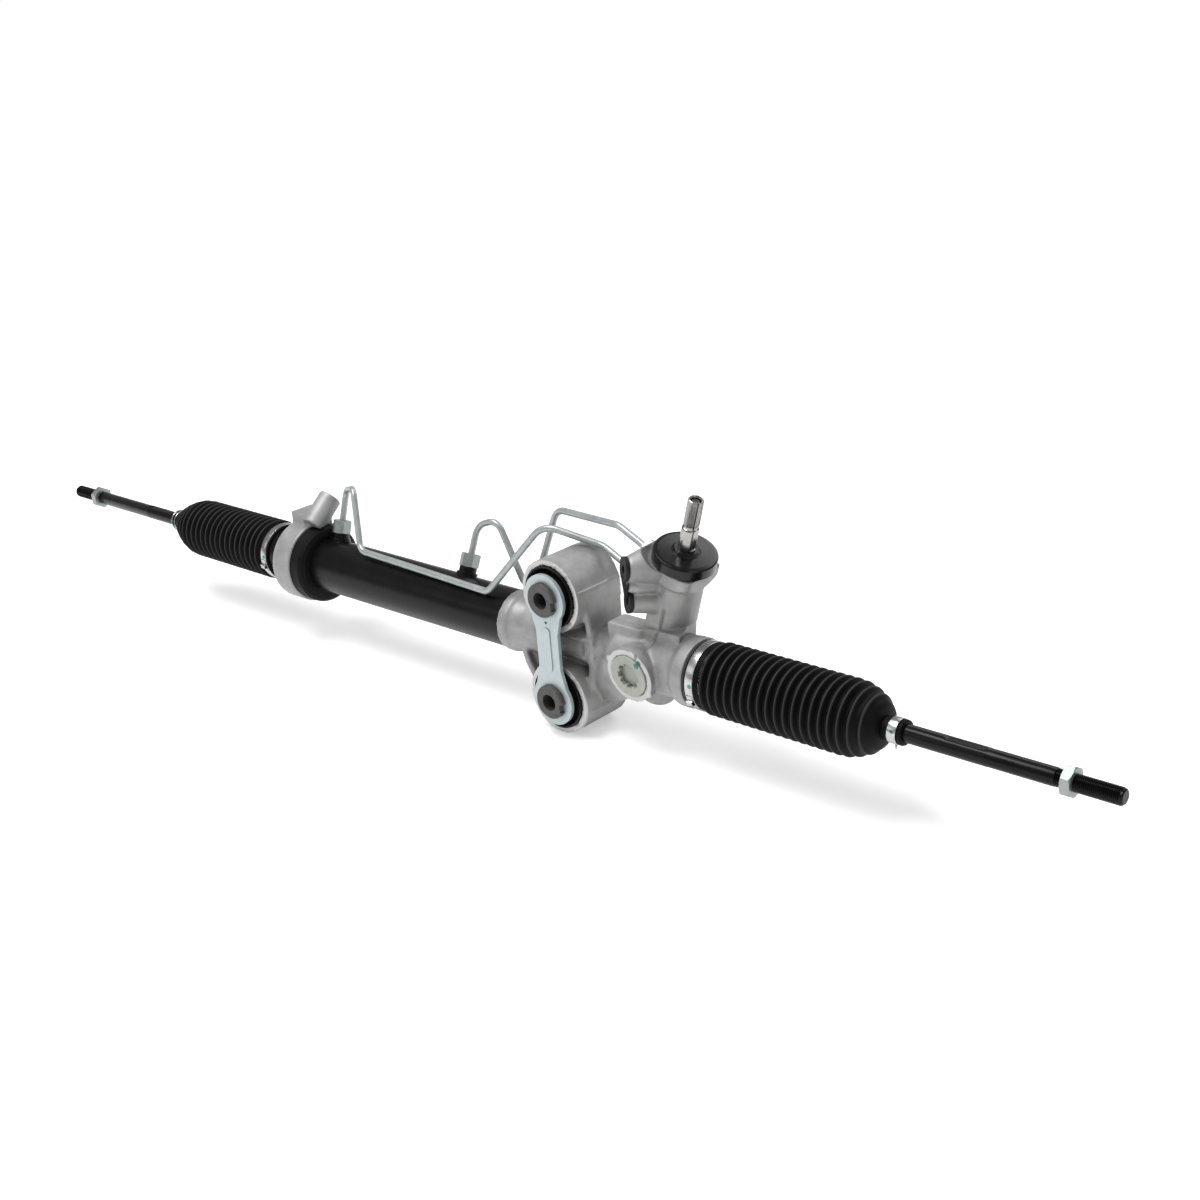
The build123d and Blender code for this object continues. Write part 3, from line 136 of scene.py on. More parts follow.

# %% [markdown]
# Finish is a material being made. One method adds any node; on top of it stand the few words that the
# finishes share: where a point is, noise with lumps of a real size, a blend of two colours, a soft
# window, how open a point is, for painted shade in corners, a blot of ink, and relief. All of them
# work in the frame of the solids, so that a finish has the same scale on every piece. Lengths are in
# metres, or in millimetres where their names end in mm.

# %% Finishes
class Finish:
    """A material made on one Principled shader."""

    made = {}

    def __init__(self, name, **fixed):
        self.material = bpy.data.materials.new(name)
        self.material.use_nodes = True
        self.tree = self.material.node_tree
        self.shader = self.tree.nodes["Principled BSDF"]
        for key, value in fixed.items():
            self.shader.inputs[key.replace("_", " ")].default_value = value
        Finish.made[name] = self

    def node(self, kind, settings=None, sockets=None, out=0):
        """Any node: its settings first, then the values or links of its sockets; gives one output."""
        made = self.tree.nodes.new(kind)
        for key, value in (settings or {}).items():
            setattr(made, key, value)
        for key, value in (sockets or {}).items():
            self.feed(made.inputs[key], value)
        return Wire(self, made.outputs[out])

    def maths(self, operation, a, b=0.0):
        return self.node("ShaderNodeMath", {"operation": operation}, {0: a, 1: b})

    def vector(self, operation, a, b, out=0):
        return self.node("ShaderNodeVectorMath", {"operation": operation}, {0: a, 1: b}, out=out)

    def mixed(self, mask, a, b):
        return self.node("ShaderNodeMix", {"data_type": "RGBA"}, {0: mask, 6: a, 7: b}, out=2)

    def feed(self, socket, value):
        if isinstance(value, Wire):
            self.tree.links.new(value.socket, socket)
        else:
            socket.default_value = value

    def set(self, name, value):
        self.feed(self.shader.inputs[name], value)

    def place(self):
        """Where a point is in the frame of the solids."""
        return self.node("ShaderNodeTexCoord", out=3)

    def along(self, direction, origin=(0, 0, 0)):
        """Distance of a point from an origin, along a direction."""
        offset = self.vector("SUBTRACT", self.place(), tuple(origin))
        return self.vector("DOT_PRODUCT", offset, tuple(direction), out=1)

    def noise(self, grain_mm, detail=3.0, rough=0.5, stretch=None):
        """Soft noise from 0 to 1, with lumps of about a grain's size."""
        where = self.place()
        if stretch:
            where = self.vector("MULTIPLY", where, stretch)
        sockets = {"Vector": where, "Scale": 1 / (grain_mm * MM), "Detail": detail, "Roughness": rough}
        return self.node("ShaderNodeTexNoise", {}, sockets)

    def between(self, mask, low, high):
        """Colour that goes from low to high with a mask."""
        return self.mixed(mask, (*low, 1.0), (*high, 1.0))

    def over(self, mask, below, colour):
        """A colour laid over another by a mask."""
        return self.mixed(mask, below, (*colour, 1.0))

    def step(self, value, low, high):
        """0 below low, 1 above high, smooth between."""
        ease = {"interpolation_type": "SMOOTHSTEP"}
        return self.node("ShaderNodeMapRange", ease, {0: value, 1: low, 2: high})

    def window(self, value, low, high, soft):
        """1 between two values, with soft edges."""
        return self.step(value, low - soft, low + soft) - self.step(value, high - soft, high + soft)

    def open_to(self, reach_mm):
        """1 in the open, less in corners and recesses."""
        reach = {"Distance": reach_mm * MM}
        return self.node("ShaderNodeAmbientOcclusion", {"samples": 8}, reach, out=1)

    def near(self, point_mm, reach_mm):
        """1 inside a small blot with a ragged edge."""
        point = tuple(c * MM for c in point_mm)
        away = self.vector("DISTANCE", self.place(), point, out=1)
        return ((reach_mm * MM - away) * (4 / MM) + (self.noise(1.5) - 0.5) * 6).clamped()

    def relief(self, height, depth_mm, edge_mm=0.0):
        """Bump of a real depth, over edges that are rounded off."""
        sockets = {"Height": height, "Distance": depth_mm * MM, "Strength": 1.0}
        if edge_mm:
            sockets["Normal"] = self.node("ShaderNodeBevel", {"samples": 4}, {"Radius": edge_mm * MM})
        self.set("Normal", self.node("ShaderNodeBump", {}, sockets))


print("finishes can be made")

# %% [markdown]
# The pinion leans in two ways: towards the yoke that presses the rack against it, and along the rack. The
# yoke's direction, the rise of the housing and the pinion's own axis are worked out once, because
# everything that stands there is placed by them.

# %% Pinion axis
YOKE_DIP = math.radians(5.6)
LEAN = math.radians(20.1)
YOKE = Vector((0, -math.cos(YOKE_DIP), -math.sin(YOKE_DIP)))
RISE = Vector((0, -math.sin(YOKE_DIP), math.cos(YOKE_DIP)))
PINION = RISE * math.cos(LEAN) + Vector((1, 0, 0)) * math.sin(LEAN)
PINION_X = 90.85
FOOT_OFF = 16.5
FOOT = Vector((PINION_X, 0, -BUSH_Z)) - YOKE * FOOT_OFF
PINION_AXIS = (tuple(FOOT), tuple(PINION), tuple(YOKE))
print("pinion axis", [round(c, 3) for c in PINION])

# %% [markdown]
# Nearly every piece here was turned on a lathe or is pressed round a pipe, so one helper turns a profile
# about an axis. Blender's Screw modifier can do this too; doing it in code leaves room for a shape rule,
# such as a thread or a serration, on the way.

# %% Mesh words
def dress(name, mesh, finish, body, replaces=(), smooth=40):
    """Puts a finished mesh into the scene, on its body; edges above an angle in degrees stay sharp."""
    mesh.polygons.foreach_set("use_smooth", [True] * len(mesh.polygons))
    mesh.set_sharp_from_angle(angle=math.radians(smooth))
    piece = bpy.data.objects.new(name, mesh)
    bpy.context.scene.collection.objects.link(piece)
    mesh.materials.clear()
    mesh.materials.append(finish.material)
    if body:
        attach(piece, body)
    if replaces:
        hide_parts(*replaces)
    return piece


def mesh_of(name, points, faces):
    """Mesh from points in millimetres, with doubled points joined and faces turned outward."""
    mesh = bpy.data.meshes.new(name)
    mesh.from_pydata((np.asarray(points) * MM).tolist(), [], faces)
    form = bmesh.new()
    form.from_mesh(mesh)
    bmesh.ops.remove_doubles(form, verts=form.verts, dist=1e-6)
    bmesh.ops.dissolve_degenerate(form, edges=form.edges, dist=1e-7)
    bmesh.ops.recalc_face_normals(form, faces=form.faces)
    form.to_mesh(mesh)
    form.free()
    return mesh


def turned_points(axis, profile, segments, rule=None):
    """Rows of points of a profile of (along, radius) turned about an axis; a rule may move them."""
    origin, along, up = (np.array(v, float) for v in axis)
    side = np.cross(along, up)
    where, radius = np.array(profile, float).T
    angle = np.arange(segments) * 2 * math.pi / segments
    where, radius, angle = np.broadcast_arrays(where[:, None], radius[:, None], angle[None, :])
    if rule:
        where, radius = rule(where, radius, angle)
    out = np.cos(angle)[..., None] * up + np.sin(angle)[..., None] * side
    return origin + where[..., None] * along + radius[..., None] * out


def grid_faces(rows, columns, closed=True, first=0):
    """Faces of a grid of rows that run round, the last row joined to the first if it is closed."""
    faces = []
    for i in range(rows if closed else rows - 1):
        a, b = first + i * columns, first + (i + 1) % rows * columns
        for j in range(columns):
            k = (j + 1) % columns
            faces.append((a + j, a + k, b + k, b + j))
    return faces


def turned(name, axis, profile, segments, rule=None, closed=True):
    points = turned_points(axis, profile, segments, rule)
    return mesh_of(name, points.reshape(-1, 3), grid_faces(len(profile), segments, closed))


def clean_join(*meshes):
    """One mesh out of several."""
    form = bmesh.new()
    for mesh in meshes:
        form.from_mesh(mesh)
    joined = meshes[0]
    form.to_mesh(joined)
    form.free()
    return joined


print("mesh words ready")

# %% [markdown]
# Cast aluminium comes out of its mould with a dull, slightly pebbled skin and is then shot-blasted. It
# could be a plain grey metal, but the eye knows it by its broken highlights, so a fine bump and a patchy
# roughness carry it. Corners and recesses get painted shade: a near-black laid over the colour where
# ambient occlusion finds them. Where a cutter has faced it the metal is paler and smoother, so masks by
# place lay that over the cast skin. One more mask draws the thin seam that the two halves of the mould
# leave on the flank of the bush boss: a raised bump, with a pale painted highlight along it.

# %% Cast aluminium
BOSS_FRONT = -30.0
YOKE_RIM = 33.5
BOSS_FACE = (27.0, 33.6)
CUT_DEEP = 0.35
CAST_TONES = ((0.31, 0.31, 0.31), (0.49, 0.49, 0.485))
MACHINED = (0.62, 0.62, 0.61)
SEAM = ((29.0, 42.0, 0.5), (-28.0, 9.0, 2.0), (8.7, 9.9, 0.25))
SEAM_HIGHLIGHT = (0.72, 0.72, 0.71)
CAST_RELIEF = 0.16
INK = (0.01, 0.22, 0.16)
INK_COVERS = 0.85
RIM_MARK = (104.4, -34.8, 12.0 - BUSH_Z)
RIM_MARK_R = 2.6


def cast_skin(name):
    cast = Finish(name, Metallic=0.35)
    patches = cast.noise(16, 4, 0.6)
    grain = cast.noise(0.7, 2, 0.6)
    speck = (cast.noise(1.6, 2, 0.7) > 0.66) * 0.5
    tone = cast.between((patches - 0.3) * 1.8, *CAST_TONES)
    tone = cast.over((grain - 0.45) * 0.5, tone, (0.66, 0.66, 0.655))
    # painted shade: corners and recesses within 24 mm darkened towards near-black by ambient occlusion
    cast.tone = cast.over((1 - cast.open_to(24)) * 0.9, tone, (0.09, 0.09, 0.088))
    cast.dull = 0.40 + grain * 0.2
    cast.skin = grain * 0.55 + patches * 0.35 + speck * 0.1
    return cast


housing_skin = cast_skin("cast_housing")
rings = 0.0
for drop in (0, -2 * BUSH_Z):
    x = housing_skin.along((1, 0, 0))
    z = housing_skin.along((0, 0, 1), (0, 0, drop * MM))
    radius = (x * x + z * z) ** 0.5
    rings = housing_skin.window(radius, BOSS_FACE[0] * MM, BOSS_FACE[1] * MM, 0.3 * MM) + rings
front = housing_skin.along((0, 1, 0)) < (BOSS_FRONT + CUT_DEEP) * MM
yoke_height = housing_skin.along(YOKE, (PINION_X * MM, 0, -BUSH_Z * MM))
seam = 1.0
for way, (low, high, edge) in zip(((1, 0, 0), (0, 1, 0), (0, 0, 1)), SEAM):
    seam = housing_skin.window(housing_skin.along(way), low * MM, high * MM, edge * MM) * seam
faced = (rings * front + (yoke_height > (YOKE_RIM - CUT_DEEP) * MM)).clamped()
tone = housing_skin.over(faced, housing_skin.tone, MACHINED)
# painted highlight: a pale line along the seam, where its ridge catches the light from above
tone = housing_skin.over(seam * 0.7, tone, SEAM_HIGHLIGHT)
inked = housing_skin.near(RIM_MARK, RIM_MARK_R) * INK_COVERS
housing_skin.set("Base Color", housing_skin.over(inked, tone, INK))
housing_skin.set("Roughness", housing_skin.dull - faced * 0.1)
housing_skin.relief(housing_skin.skin * (1 - faced) + seam * 4, CAST_RELIEF)

bracket_skin = cast_skin("cast_bracket")
bracket_skin.set("Base Color", bracket_skin.tone)
bracket_skin.set("Roughness", bracket_skin.dull)
bracket_skin.relief(bracket_skin.skin, CAST_RELIEF)

shaded_inner_cast = cast_skin("cast_inner_shaded")
# painted shade: the bulkhead's end and the yoke plunger darkened nearly to black, as in shadow
shaded_inner_cast.set("Base Color", shaded_inner_cast.over(0.8, shaded_inner_cast.tone, (0.02, 0.02, 0.02)))
shaded_inner_cast.set("Roughness", shaded_inner_cast.dull)
shaded_inner_cast.relief(shaded_inner_cast.skin, 0.05, 0.3)
print("cast finishes", list(Finish.made))

# %% [markdown]
# The cylinder tube is steel in thick gloss black paint. Sprayed paint flows but never lies quite flat,
# so its bump is a long, low wave, called orange peel, with a little dust in it.
# Tie rods and ball sockets wear a thinner black, baked on over a rolled surface.

# %% Black paint
TUBE_BLACK = ((0.003, 0.003, 0.0034), (0.007, 0.007, 0.0076))
ROD_BLACK = ((0.004, 0.004, 0.0043), (0.010, 0.010, 0.0104))

tube_paint = Finish("tube_paint", Coat_Weight=0.04, Coat_Roughness=0.12, Specular_IOR_Level=0.16)
peel = tube_paint.noise(2.6, 2, 0.4)
dust = tube_paint.noise(30, 5, 0.7)
tube_paint.set("Base Color", tube_paint.between((dust - 0.4) * 2, *TUBE_BLACK))
tube_paint.set("Roughness", 0.24 + dust * 0.16)
tube_paint.relief(peel, 0.05, 0.4)

rod_paint = Finish("rod_paint", Specular_IOR_Level=0.18)
rolled = rod_paint.noise(1.2, 3, 0.6, (0.15, 1, 1))
wear = rod_paint.noise(9, 5, 0.7)
rod_paint.set("Base Color", rod_paint.between((wear - 0.5) * 2, *ROD_BLACK))
rod_paint.set("Roughness", 0.20 + rolled * 0.14)
rod_paint.relief(rolled, 0.05)
print("paints", tube_paint.material.name, rod_paint.material.name)

# %% [markdown]
# Moulded rubber is nearly black and shines softly where it is stretched over a crest. A fine leathery
# bump breaks that shine. Each crest of a gaiter carries a paler line, partly wiped and dusty wear and
# partly a painted highlight, so the folds are counted along the rack here in the same way as where
# their form is made. Four places along the rack lay out a gaiter: the start of its large cuff, its
# shoulder, the end of its folds and the middle of its small cuff.

# %% Rubber
FOLDS = 19
CUFF_LONG = 14.0
FOLDS_AT = CUFF_LONG + 1
CREST_WEAR_AND_HIGHLIGHT = (0.058, 0.058, 0.06)
GAITERS = {"right": (147.5, 298.0, 323.0, 338.0), "left": (421.0, 570.6, 607.0, 622.0)}


def moulded_rubber(name, low, high):
    rubber = Finish(name, Specular_IOR_Level=0.13)
    leather = rubber.noise(0.9, 3, 0.6)
    bloom = rubber.noise(22, 4, 0.6)
    rubber.tone = rubber.between((bloom - 0.35) * 2, low, high)
    rubber.set("Base Color", rubber.tone)
    rubber.set("Roughness", 0.46 + leather * 0.2)
    rubber.relief(leather, 0.05)
    return rubber


bush_rubber = moulded_rubber("bush_rubber", (0.005, 0.005, 0.0055), (0.013, 0.013, 0.0135))
gaiter_rubber = moulded_rubber("gaiter_rubber", (0.0018, 0.0018, 0.002), (0.0042, 0.0042, 0.0045))
crests = 0.0
for way, (cuff, _, folds_end, _) in zip((1, -1), GAITERS.values()):
    first = cuff + FOLDS_AT
    along = gaiter_rubber.along((way, 0, 0), (way * first * MM, 0, 0))
    place = gaiter_rubber.maths("FRACT", along * (FOLDS / ((folds_end - first) * MM)))
    line = (1 - gaiter_rubber.maths("ABSOLUTE", place - 0.5) * 7).clamped()
    crests = line * gaiter_rubber.window(along, 0, (folds_end - first) * MM, 1 * MM) + crests
# painted highlight with some wear: a pale line along every crest
gaiter_rubber.set("Base Color", gaiter_rubber.over(crests * 0.9, gaiter_rubber.tone, CREST_WEAR_AND_HIGHLIGHT))
print("rubbers", bush_rubber.material.name, gaiter_rubber.material.name)

# %% [markdown]
# Bright zinc is a thin plating with a cool blue-white cast and soft smears in its shine; on pressed plate
# it is more satin. Stainless spring steel and ground shafts are warmer and sharper, with fine lines along
# the way they were worked. An inspector's green paint marks cross the joints that were checked.

# %% Plated and bright steel
def plating(name, low, high, shine, smear, grain_mm=0.6, stretch=None, metal=1.0, depth=0.02):
    plate = Finish(name, Metallic=metal)
    clouds = plate.noise(7, 4, 0.6)
    grain = plate.noise(grain_mm, 3, 0.6, stretch)
    plate.tone = plate.between((clouds - 0.3) * 1.7, low, high)
    # painted shade: corners and recesses within 3 mm darkened by ambient occlusion, which deepens the bead on
    # the link plate and the crevices of lines and nuts
    plate.tone = plate.over((1 - plate.open_to(3)) * 0.6, plate.tone, (0.03, 0.03, 0.03))
    plate.set("Base Color", plate.tone)
    plate.set("Roughness", shine + clouds * smear + grain * 0.08)
    plate.relief(grain, depth, 0.25)
    return plate


link_zinc = plating("link_zinc", (0.50, 0.57, 0.59), (0.61, 0.68, 0.70), 0.36, 0.16, metal=0.5)
line_zinc = plating("line_zinc", (0.38, 0.41, 0.41), (0.52, 0.55, 0.55), 0.28, 0.14, metal=0.55)
nut_zinc = plating("nut_zinc", (0.29, 0.325, 0.315), (0.43, 0.47, 0.46), 0.26, 0.16, metal=0.7)
bush_steel = plating("bush_steel", (0.075, 0.074, 0.072), (0.14, 0.138, 0.134), 0.40, 0.16, metal=0.5)
dark_steel = plating("dark_steel", (0.06, 0.06, 0.06), (0.13, 0.127, 0.123), 0.34, 0.16)
spring_steel = plating("spring_steel", (0.46, 0.465, 0.46), (0.62, 0.625, 0.62), 0.18, 0.10, 1.5, (0.2, 1, 1),
                       depth=0.008)
shaft_steel = plating("shaft_steel", (0.34, 0.335, 0.325), (0.48, 0.475, 0.46), 0.14, 0.08, 0.5, depth=0.004)
rack_steel = plating("rack_steel", (0.52, 0.52, 0.51), (0.64, 0.64, 0.63), 0.14, 0.1, 0.4, (0.1, 1, 1))
plug_metal = plating("plug_metal", (0.40, 0.415, 0.37), (0.54, 0.555, 0.50), 0.42, 0.16, 1.2, metal=0.3,
                     depth=0.05)
bronze = plating("bronze", (0.50, 0.33, 0.16), (0.64, 0.45, 0.24), 0.30, 0.14)

MARKS = {
    spring_steel: (
        (155.2, -30.3, 1.6 - BUSH_Z, 2.2),
        (338.7, -10.4, 3.2 - BUSH_Z, 1.7),
        (-620.4, -11.5, 0.5 - BUSH_Z, 2.6),
        (-625.0, -11.5, 0.5 - BUSH_Z, 2.0),
        (-426.0, -30.0, 3.0 - BUSH_Z, 2.4),
    ),
    plug_metal: ((102.2, -36.0, 9.4 - BUSH_Z, 2.8),),
}
for finish, blots in MARKS.items():
    for x, y, z, reach in blots:
        finish.tone = finish.over(finish.near((x, y, z), reach) * INK_COVERS, finish.tone, INK)
    finish.set("Base Color", finish.tone)
print("plated", len(Finish.made), "finishes so far")

# %% [markdown]
# Two plastics show: the glossy dust cover with its moulded bloom, and the dull port plugs. Inside are
# pale rings and ball seats.

# %% Plastics
COVER_BLACK = ((0.003, 0.003, 0.0034), (0.009, 0.009, 0.0094))
PLUG_BLACK = ((0.006, 0.006, 0.007), (0.016, 0.016, 0.017))

cover_plastic = Finish("cover_plastic", Specular_IOR_Level=0.36)
cloud = cover_plastic.noise(12, 4, 0.6)
cover_plastic.set("Base Color", cover_plastic.between((cloud - 0.3) * 2, *COVER_BLACK))
cover_plastic.set("Roughness", 0.16 + cloud * 0.12)
cover_plastic.relief(cover_plastic.noise(1.1, 2, 0.5), 0.03, 0.5)

plug_plastic = Finish("plug_plastic", Specular_IOR_Level=0.3)
pores = plug_plastic.noise(0.8, 3, 0.6)
plug_plastic.set("Base Color", plug_plastic.between(pores, *PLUG_BLACK))
plug_plastic.set("Roughness", 0.42 + pores * 0.2)
plug_plastic.relief(pores, 0.05, 0.4)

pale_polymer = Finish("pale_polymer")
waxy = pale_polymer.noise(3, 3, 0.5)
pale_polymer.set("Base Color", pale_polymer.between(waxy, (0.60, 0.56, 0.47), (0.76, 0.73, 0.65)))
pale_polymer.set("Roughness", 0.45 + waxy * 0.15)
pale_polymer.relief(waxy, 0.03, 0.2)
print("plastics", cover_plastic.material.name, plug_plastic.material.name)

# %% [markdown]
# Solids that are already right keep their mesh and only change finish. A table says which finish each of
# them wears.

# %% Finish of the solids
WEARS = {
    shaded_inner_cast: ("cylinder_bulkhead", "yoke_plunger"),
    tube_paint: ("cylinder_tube",),
    bush_rubber: ("end_bush", "outer_rack_seal", "inner_rack_seal", "input_seal", "yoke_o_ring",
                  "upper_bush_rubber", "lower_bush_rubber"),
    link_zinc: ("bush_link_plate",),
    line_zinc: ("front_line", "rear_line"),
    nut_zinc: ("flare_nuts", "left_jam_nut", "right_jam_nut"),
    bush_steel: ("upper_bush_sleeve", "lower_bush_sleeve"),
    # The torsion bar wears dark steel as painted shade, so the drilled end of the input shaft shows dark.
    dark_steel: ("bottom_cap", "pinion_nut", "torsion_bar", "retaining_ring", "yoke_spring"),
    rod_paint: ("left_ball_socket", "right_ball_socket", "upper_bush_shell", "lower_bush_shell"),
    rack_steel: ("rack_bar", "pinion_gear", "torsion_pin", "valve_sleeve", "lower_pinion_bearing",
                 "upper_pinion_bearing", "input_bearing", "piston"),
    cover_plastic: ("dust_cover",),
    plug_plastic: ("port_plugs",),
    pale_polymer: ("piston_ring", "valve_rings", "left_ball_seat", "right_ball_seat"),
    bronze: ("rack_bushing", "yoke_liner"),
}
for finish, names in WEARS.items():
    for name in names:
        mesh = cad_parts[name].data
        mesh.materials.clear()
        mesh.materials.append(finish.material)
print("solids dressed", sum(len(names) for names in WEARS.values()))

# %% [markdown]
# The housing is one casting: every corner of it is rounded by the mould, and the solid has them sharp.
# Rounding by a bevel would fail on so many crossing forms. Instead the solid is rebuilt from small cubes,
# which closes it into one skin, and the skin is let slack like a drumhead for a few steps. Machined faces
# are held, so they stay flat and crisp.

# %% Casting words
def slackened(mesh, rounds, hold):
    """Pulls each point towards the middle of its neighbours, less where it is held."""
    points = np.empty(len(mesh.vertices) * 3)
    mesh.vertices.foreach_get("co", points)
    points = points.reshape(-1, 3)
    edges = np.empty(len(mesh.edges) * 2, int)
    mesh.edges.foreach_get("vertices", edges)
    a, b = edges.reshape(-1, 2).T
    share = (1 - hold(points / MM))[:, None]
    count = np.bincount(edges, minlength=len(points))[:, None]
    for _ in range(rounds):
        columns = [np.bincount(a, way[b], len(way)) + np.bincount(b, way[a], len(way)) for way in points.T]
        total = np.stack(columns, axis=1)
        points = points + share * 0.5 * (total / count - points)
    mesh.vertices.foreach_set("co", points.ravel())
    mesh.update()


def with_modifier(mesh, kind, **settings):
    """A new mesh: the old one after one modifier."""
    carrier = bpy.data.objects.new("carrier", mesh)
    bpy.context.scene.collection.objects.link(carrier)
    modifier = carrier.modifiers.new("step", kind)
    for key, value in settings.items():
        setattr(modifier, key, value)
    shaped = bpy.data.meshes.new_from_object(carrier.evaluated_get(bpy.context.evaluated_depsgraph_get()))
    bpy.data.objects.remove(carrier)
    return shaped


def recast(node, grain_mm, rounds, hold, keep, ease=None, ribs=()):
    """The cast form of a solid, with the small ribs that grow out of it."""
    skin = clean_join(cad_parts[node].data.copy(), *ribs)
    skin = with_modifier(skin, "REMESH", mode="VOXEL", voxel_size=grain_mm * MM)
    slackened(skin, rounds, hold)
    if ease:
        points = np.empty(len(skin.vertices) * 3)
        skin.vertices.foreach_get("co", points)
        skin.vertices.foreach_set("co", (ease(points.reshape(-1, 3) / MM) * MM).ravel())
        skin.update()
    return with_modifier(skin, "DECIMATE", ratio=keep)


def upright_rib(outline, front, back):
    """Rib whose outline of (x, z) stands upright, between two depths along y."""
    points = [(x, y, z - BUSH_Z) for y in (front, back) for x, z in outline]
    count = len(outline)
    faces = [tuple(range(count)), tuple(range(count, 2 * count))]
    faces += [(k, (k + 1) % count, count + (k + 1) % count, count + k) for k in range(count)]
    return mesh_of("rib", points, faces)


print("casting words ready")

# %% [markdown]
# A mould needs draft, so a casting's forms lean and taper, and they are hollowed where something passes
# close by. The solid is plainer than that. Each rule below takes points in the casting and moves some of
# them by a few millimetres. Most fade in and out with a smooth step, so that no edge shows where a rule
# begins; the others are plain limits, as the flat wall of a mould is.

# %% Draft and relief
NECK_IN = 4.6
FLANK_FRONT = -17.8
SHELF_BACK, SHELF_FALL = 8.0, 0.9
FOOT_RIGHT, FOOT_FRONT, FOOT_TAPER = 130.0, -8.9, 0.324
COVER_FLOOR, COVER_EDGE = 100.5, 27.5
PORT_TURN = math.radians(35)
PORT_HIGH, PORT_LONGER = 76.85, 5.0
CREASE_DEEP, CREASE_WIDE, CREASE_AT = 2.0, 1.1, 3.0


def soft(value, low, high):
    """0 below low, 1 above high, smooth between."""
    t = np.clip((value - low) / (high - low), 0, 1)
    return t * t * (3 - 2 * t)


def necked(x, y, z):
    """The tunnel, drawn in on the way to the yoke boss and flat in front between the flanks."""
    reach = np.hypot(y, z)
    ring = soft(reach, 15.5, 19.5) * (1 - soft(reach, 22.5, 26))
    neck = soft(x, 35, 37) * (1 - soft(x, 42, 60)) * soft(z, -16, -6)
    shrink = 1 - NECK_IN * ring * neck / np.maximum(reach, 1)
    y, z = y * shrink, z * shrink
    strip = (x > 24) & (x < 37) & (reach < 23) & (abs(z) < 14) & (y < 0)
    return x, np.where(strip, np.maximum(y, FLANK_FRONT), y), z


def drafted_foot(x, y, z):
    """The shelf, falling away at its back, and the foot of the tower, narrower towards its back."""
    back = soft(x, 38, 44) * (1 - soft(x, 76, 84)) * soft(z, 12, 20) * (y > SHELF_BACK)
    z = z - SHELF_FALL * (y - SHELF_BACK) * back
    foot = (z > 20) & (z < 36) & (y > -13) & (x > 108) & (x < 132.3) & (np.hypot(y, z) > 28)
    return np.where(foot, np.minimum(x, FOOT_RIGHT - FOOT_TAPER * (y - FOOT_FRONT)), x), y, z


def relieved_valve(high, ahead, aside):
    """Round the pinion: room beside the dust cover, a longer middle port, and the crease of the tower."""
    out = np.hypot(ahead, aside)
    turn = np.degrees(np.arctan2(aside, ahead))
    roof = COVER_FLOOR + soft(out, 29, 46) * 14 + soft(-turn, 62, 88) * 16
    beside = (high > 90) & (out > COVER_EDGE) & (out < 50)
    high = np.where(beside, np.minimum(high, roof), high)
    port = ahead * math.cos(PORT_TURN) - aside * math.sin(PORT_TURN)
    across = np.hypot(high - PORT_HIGH, ahead * math.sin(PORT_TURN) + aside * math.cos(PORT_TURN))
    longer = PORT_LONGER * soft(port, 36, 39.5) * (1 - soft(across, 5.6, 7.6))
    crease = CREASE_DEEP * np.exp(-((aside - CREASE_AT) / CREASE_WIDE) ** 2)
    crease = crease * soft(high, 18, 24) * (1 - soft(high, 56, 62)) * (ahead > 14)
    return high, ahead + longer * math.cos(PORT_TURN) - crease, aside - longer * math.sin(PORT_TURN)


def eased(points):
    """The casting after its draft and relief."""
    x, y, z = points.T
    x, y, z = drafted_foot(*necked(x, y, z + BUSH_Z))
    ways = np.array([PINION, YOKE, PINION.cross(YOKE)])
    foot = np.array(FOOT)
    valve = relieved_valve(*(ways @ (np.array([x, y, z - BUSH_Z]) - foot[:, None])))
    return (ways.T @ np.array(valve)).T + foot


print("draft and relief ready")

# %% [markdown]
# Some faces must not go slack: the ends of the bosses, the bores of the bushes, the rim of the yoke boss
# and both ends of the tunnel are machined. The valve's tower is held half, because its forms are finer
# than the rest. A rib that grows out of the left cheek is joined to the solid before it is rebuilt, so
# the two become one casting.

# %% Housing
BOSS_R = 34.0
BOSS_BACK = 26.0
SHELL_R = 28.5
CUFF_START = 145.0
TUBE_END = -74.0
TOWER_LOW = 62.0
HELD_DEEP = 1.2
CHEEK_RIB = [(-57, -10), (-58.5, -21), (-54, -34), (-47, -45), (-32, -58), (-25, -52), (-40, -41), (-47, -31),
             (-51, -21), (-50, -10)]


def held_housing(points):
    """1 on the machined faces of the housing, half on its finer cast forms, 0 on the broad ones."""
    x, y, z = points.T
    upper = np.hypot(x, z)
    lower = np.hypot(x, z + 2 * BUSH_Z)
    nearest = np.minimum(upper, lower)
    ring = (nearest < BOSS_R + 1) & ((y < BOSS_FRONT + HELD_DEEP) | (y > BOSS_BACK - HELD_DEEP))
    bush = nearest < SHELL_R + 1
    mouth = (points - [PINION_X, 0, -BUSH_Z]) @ np.array(YOKE) > YOKE_RIM - HELD_DEEP
    rack = (x > CUFF_START) | (x < TUBE_END)
    machined = ring | bush | mouth | rack
    fine = (points - np.array(FOOT)) @ np.array(PINION) > TOWER_LOW
    return np.where(machined, 1.0, np.where(fine, 0.5, 0.0))


cheek_rib = upright_rib(CHEEK_RIB, -16.5, -4)
housing_mesh = recast("pinion_housing", grain_mm=1.0, rounds=14, hold=held_housing, keep=0.35, ease=eased,
                      ribs=[cheek_rib])
dress("housing_casting", housing_mesh, housing_skin, "housing", ["pinion_housing"], 55)
print("housing casting", len(housing_mesh.polygons), "faces")

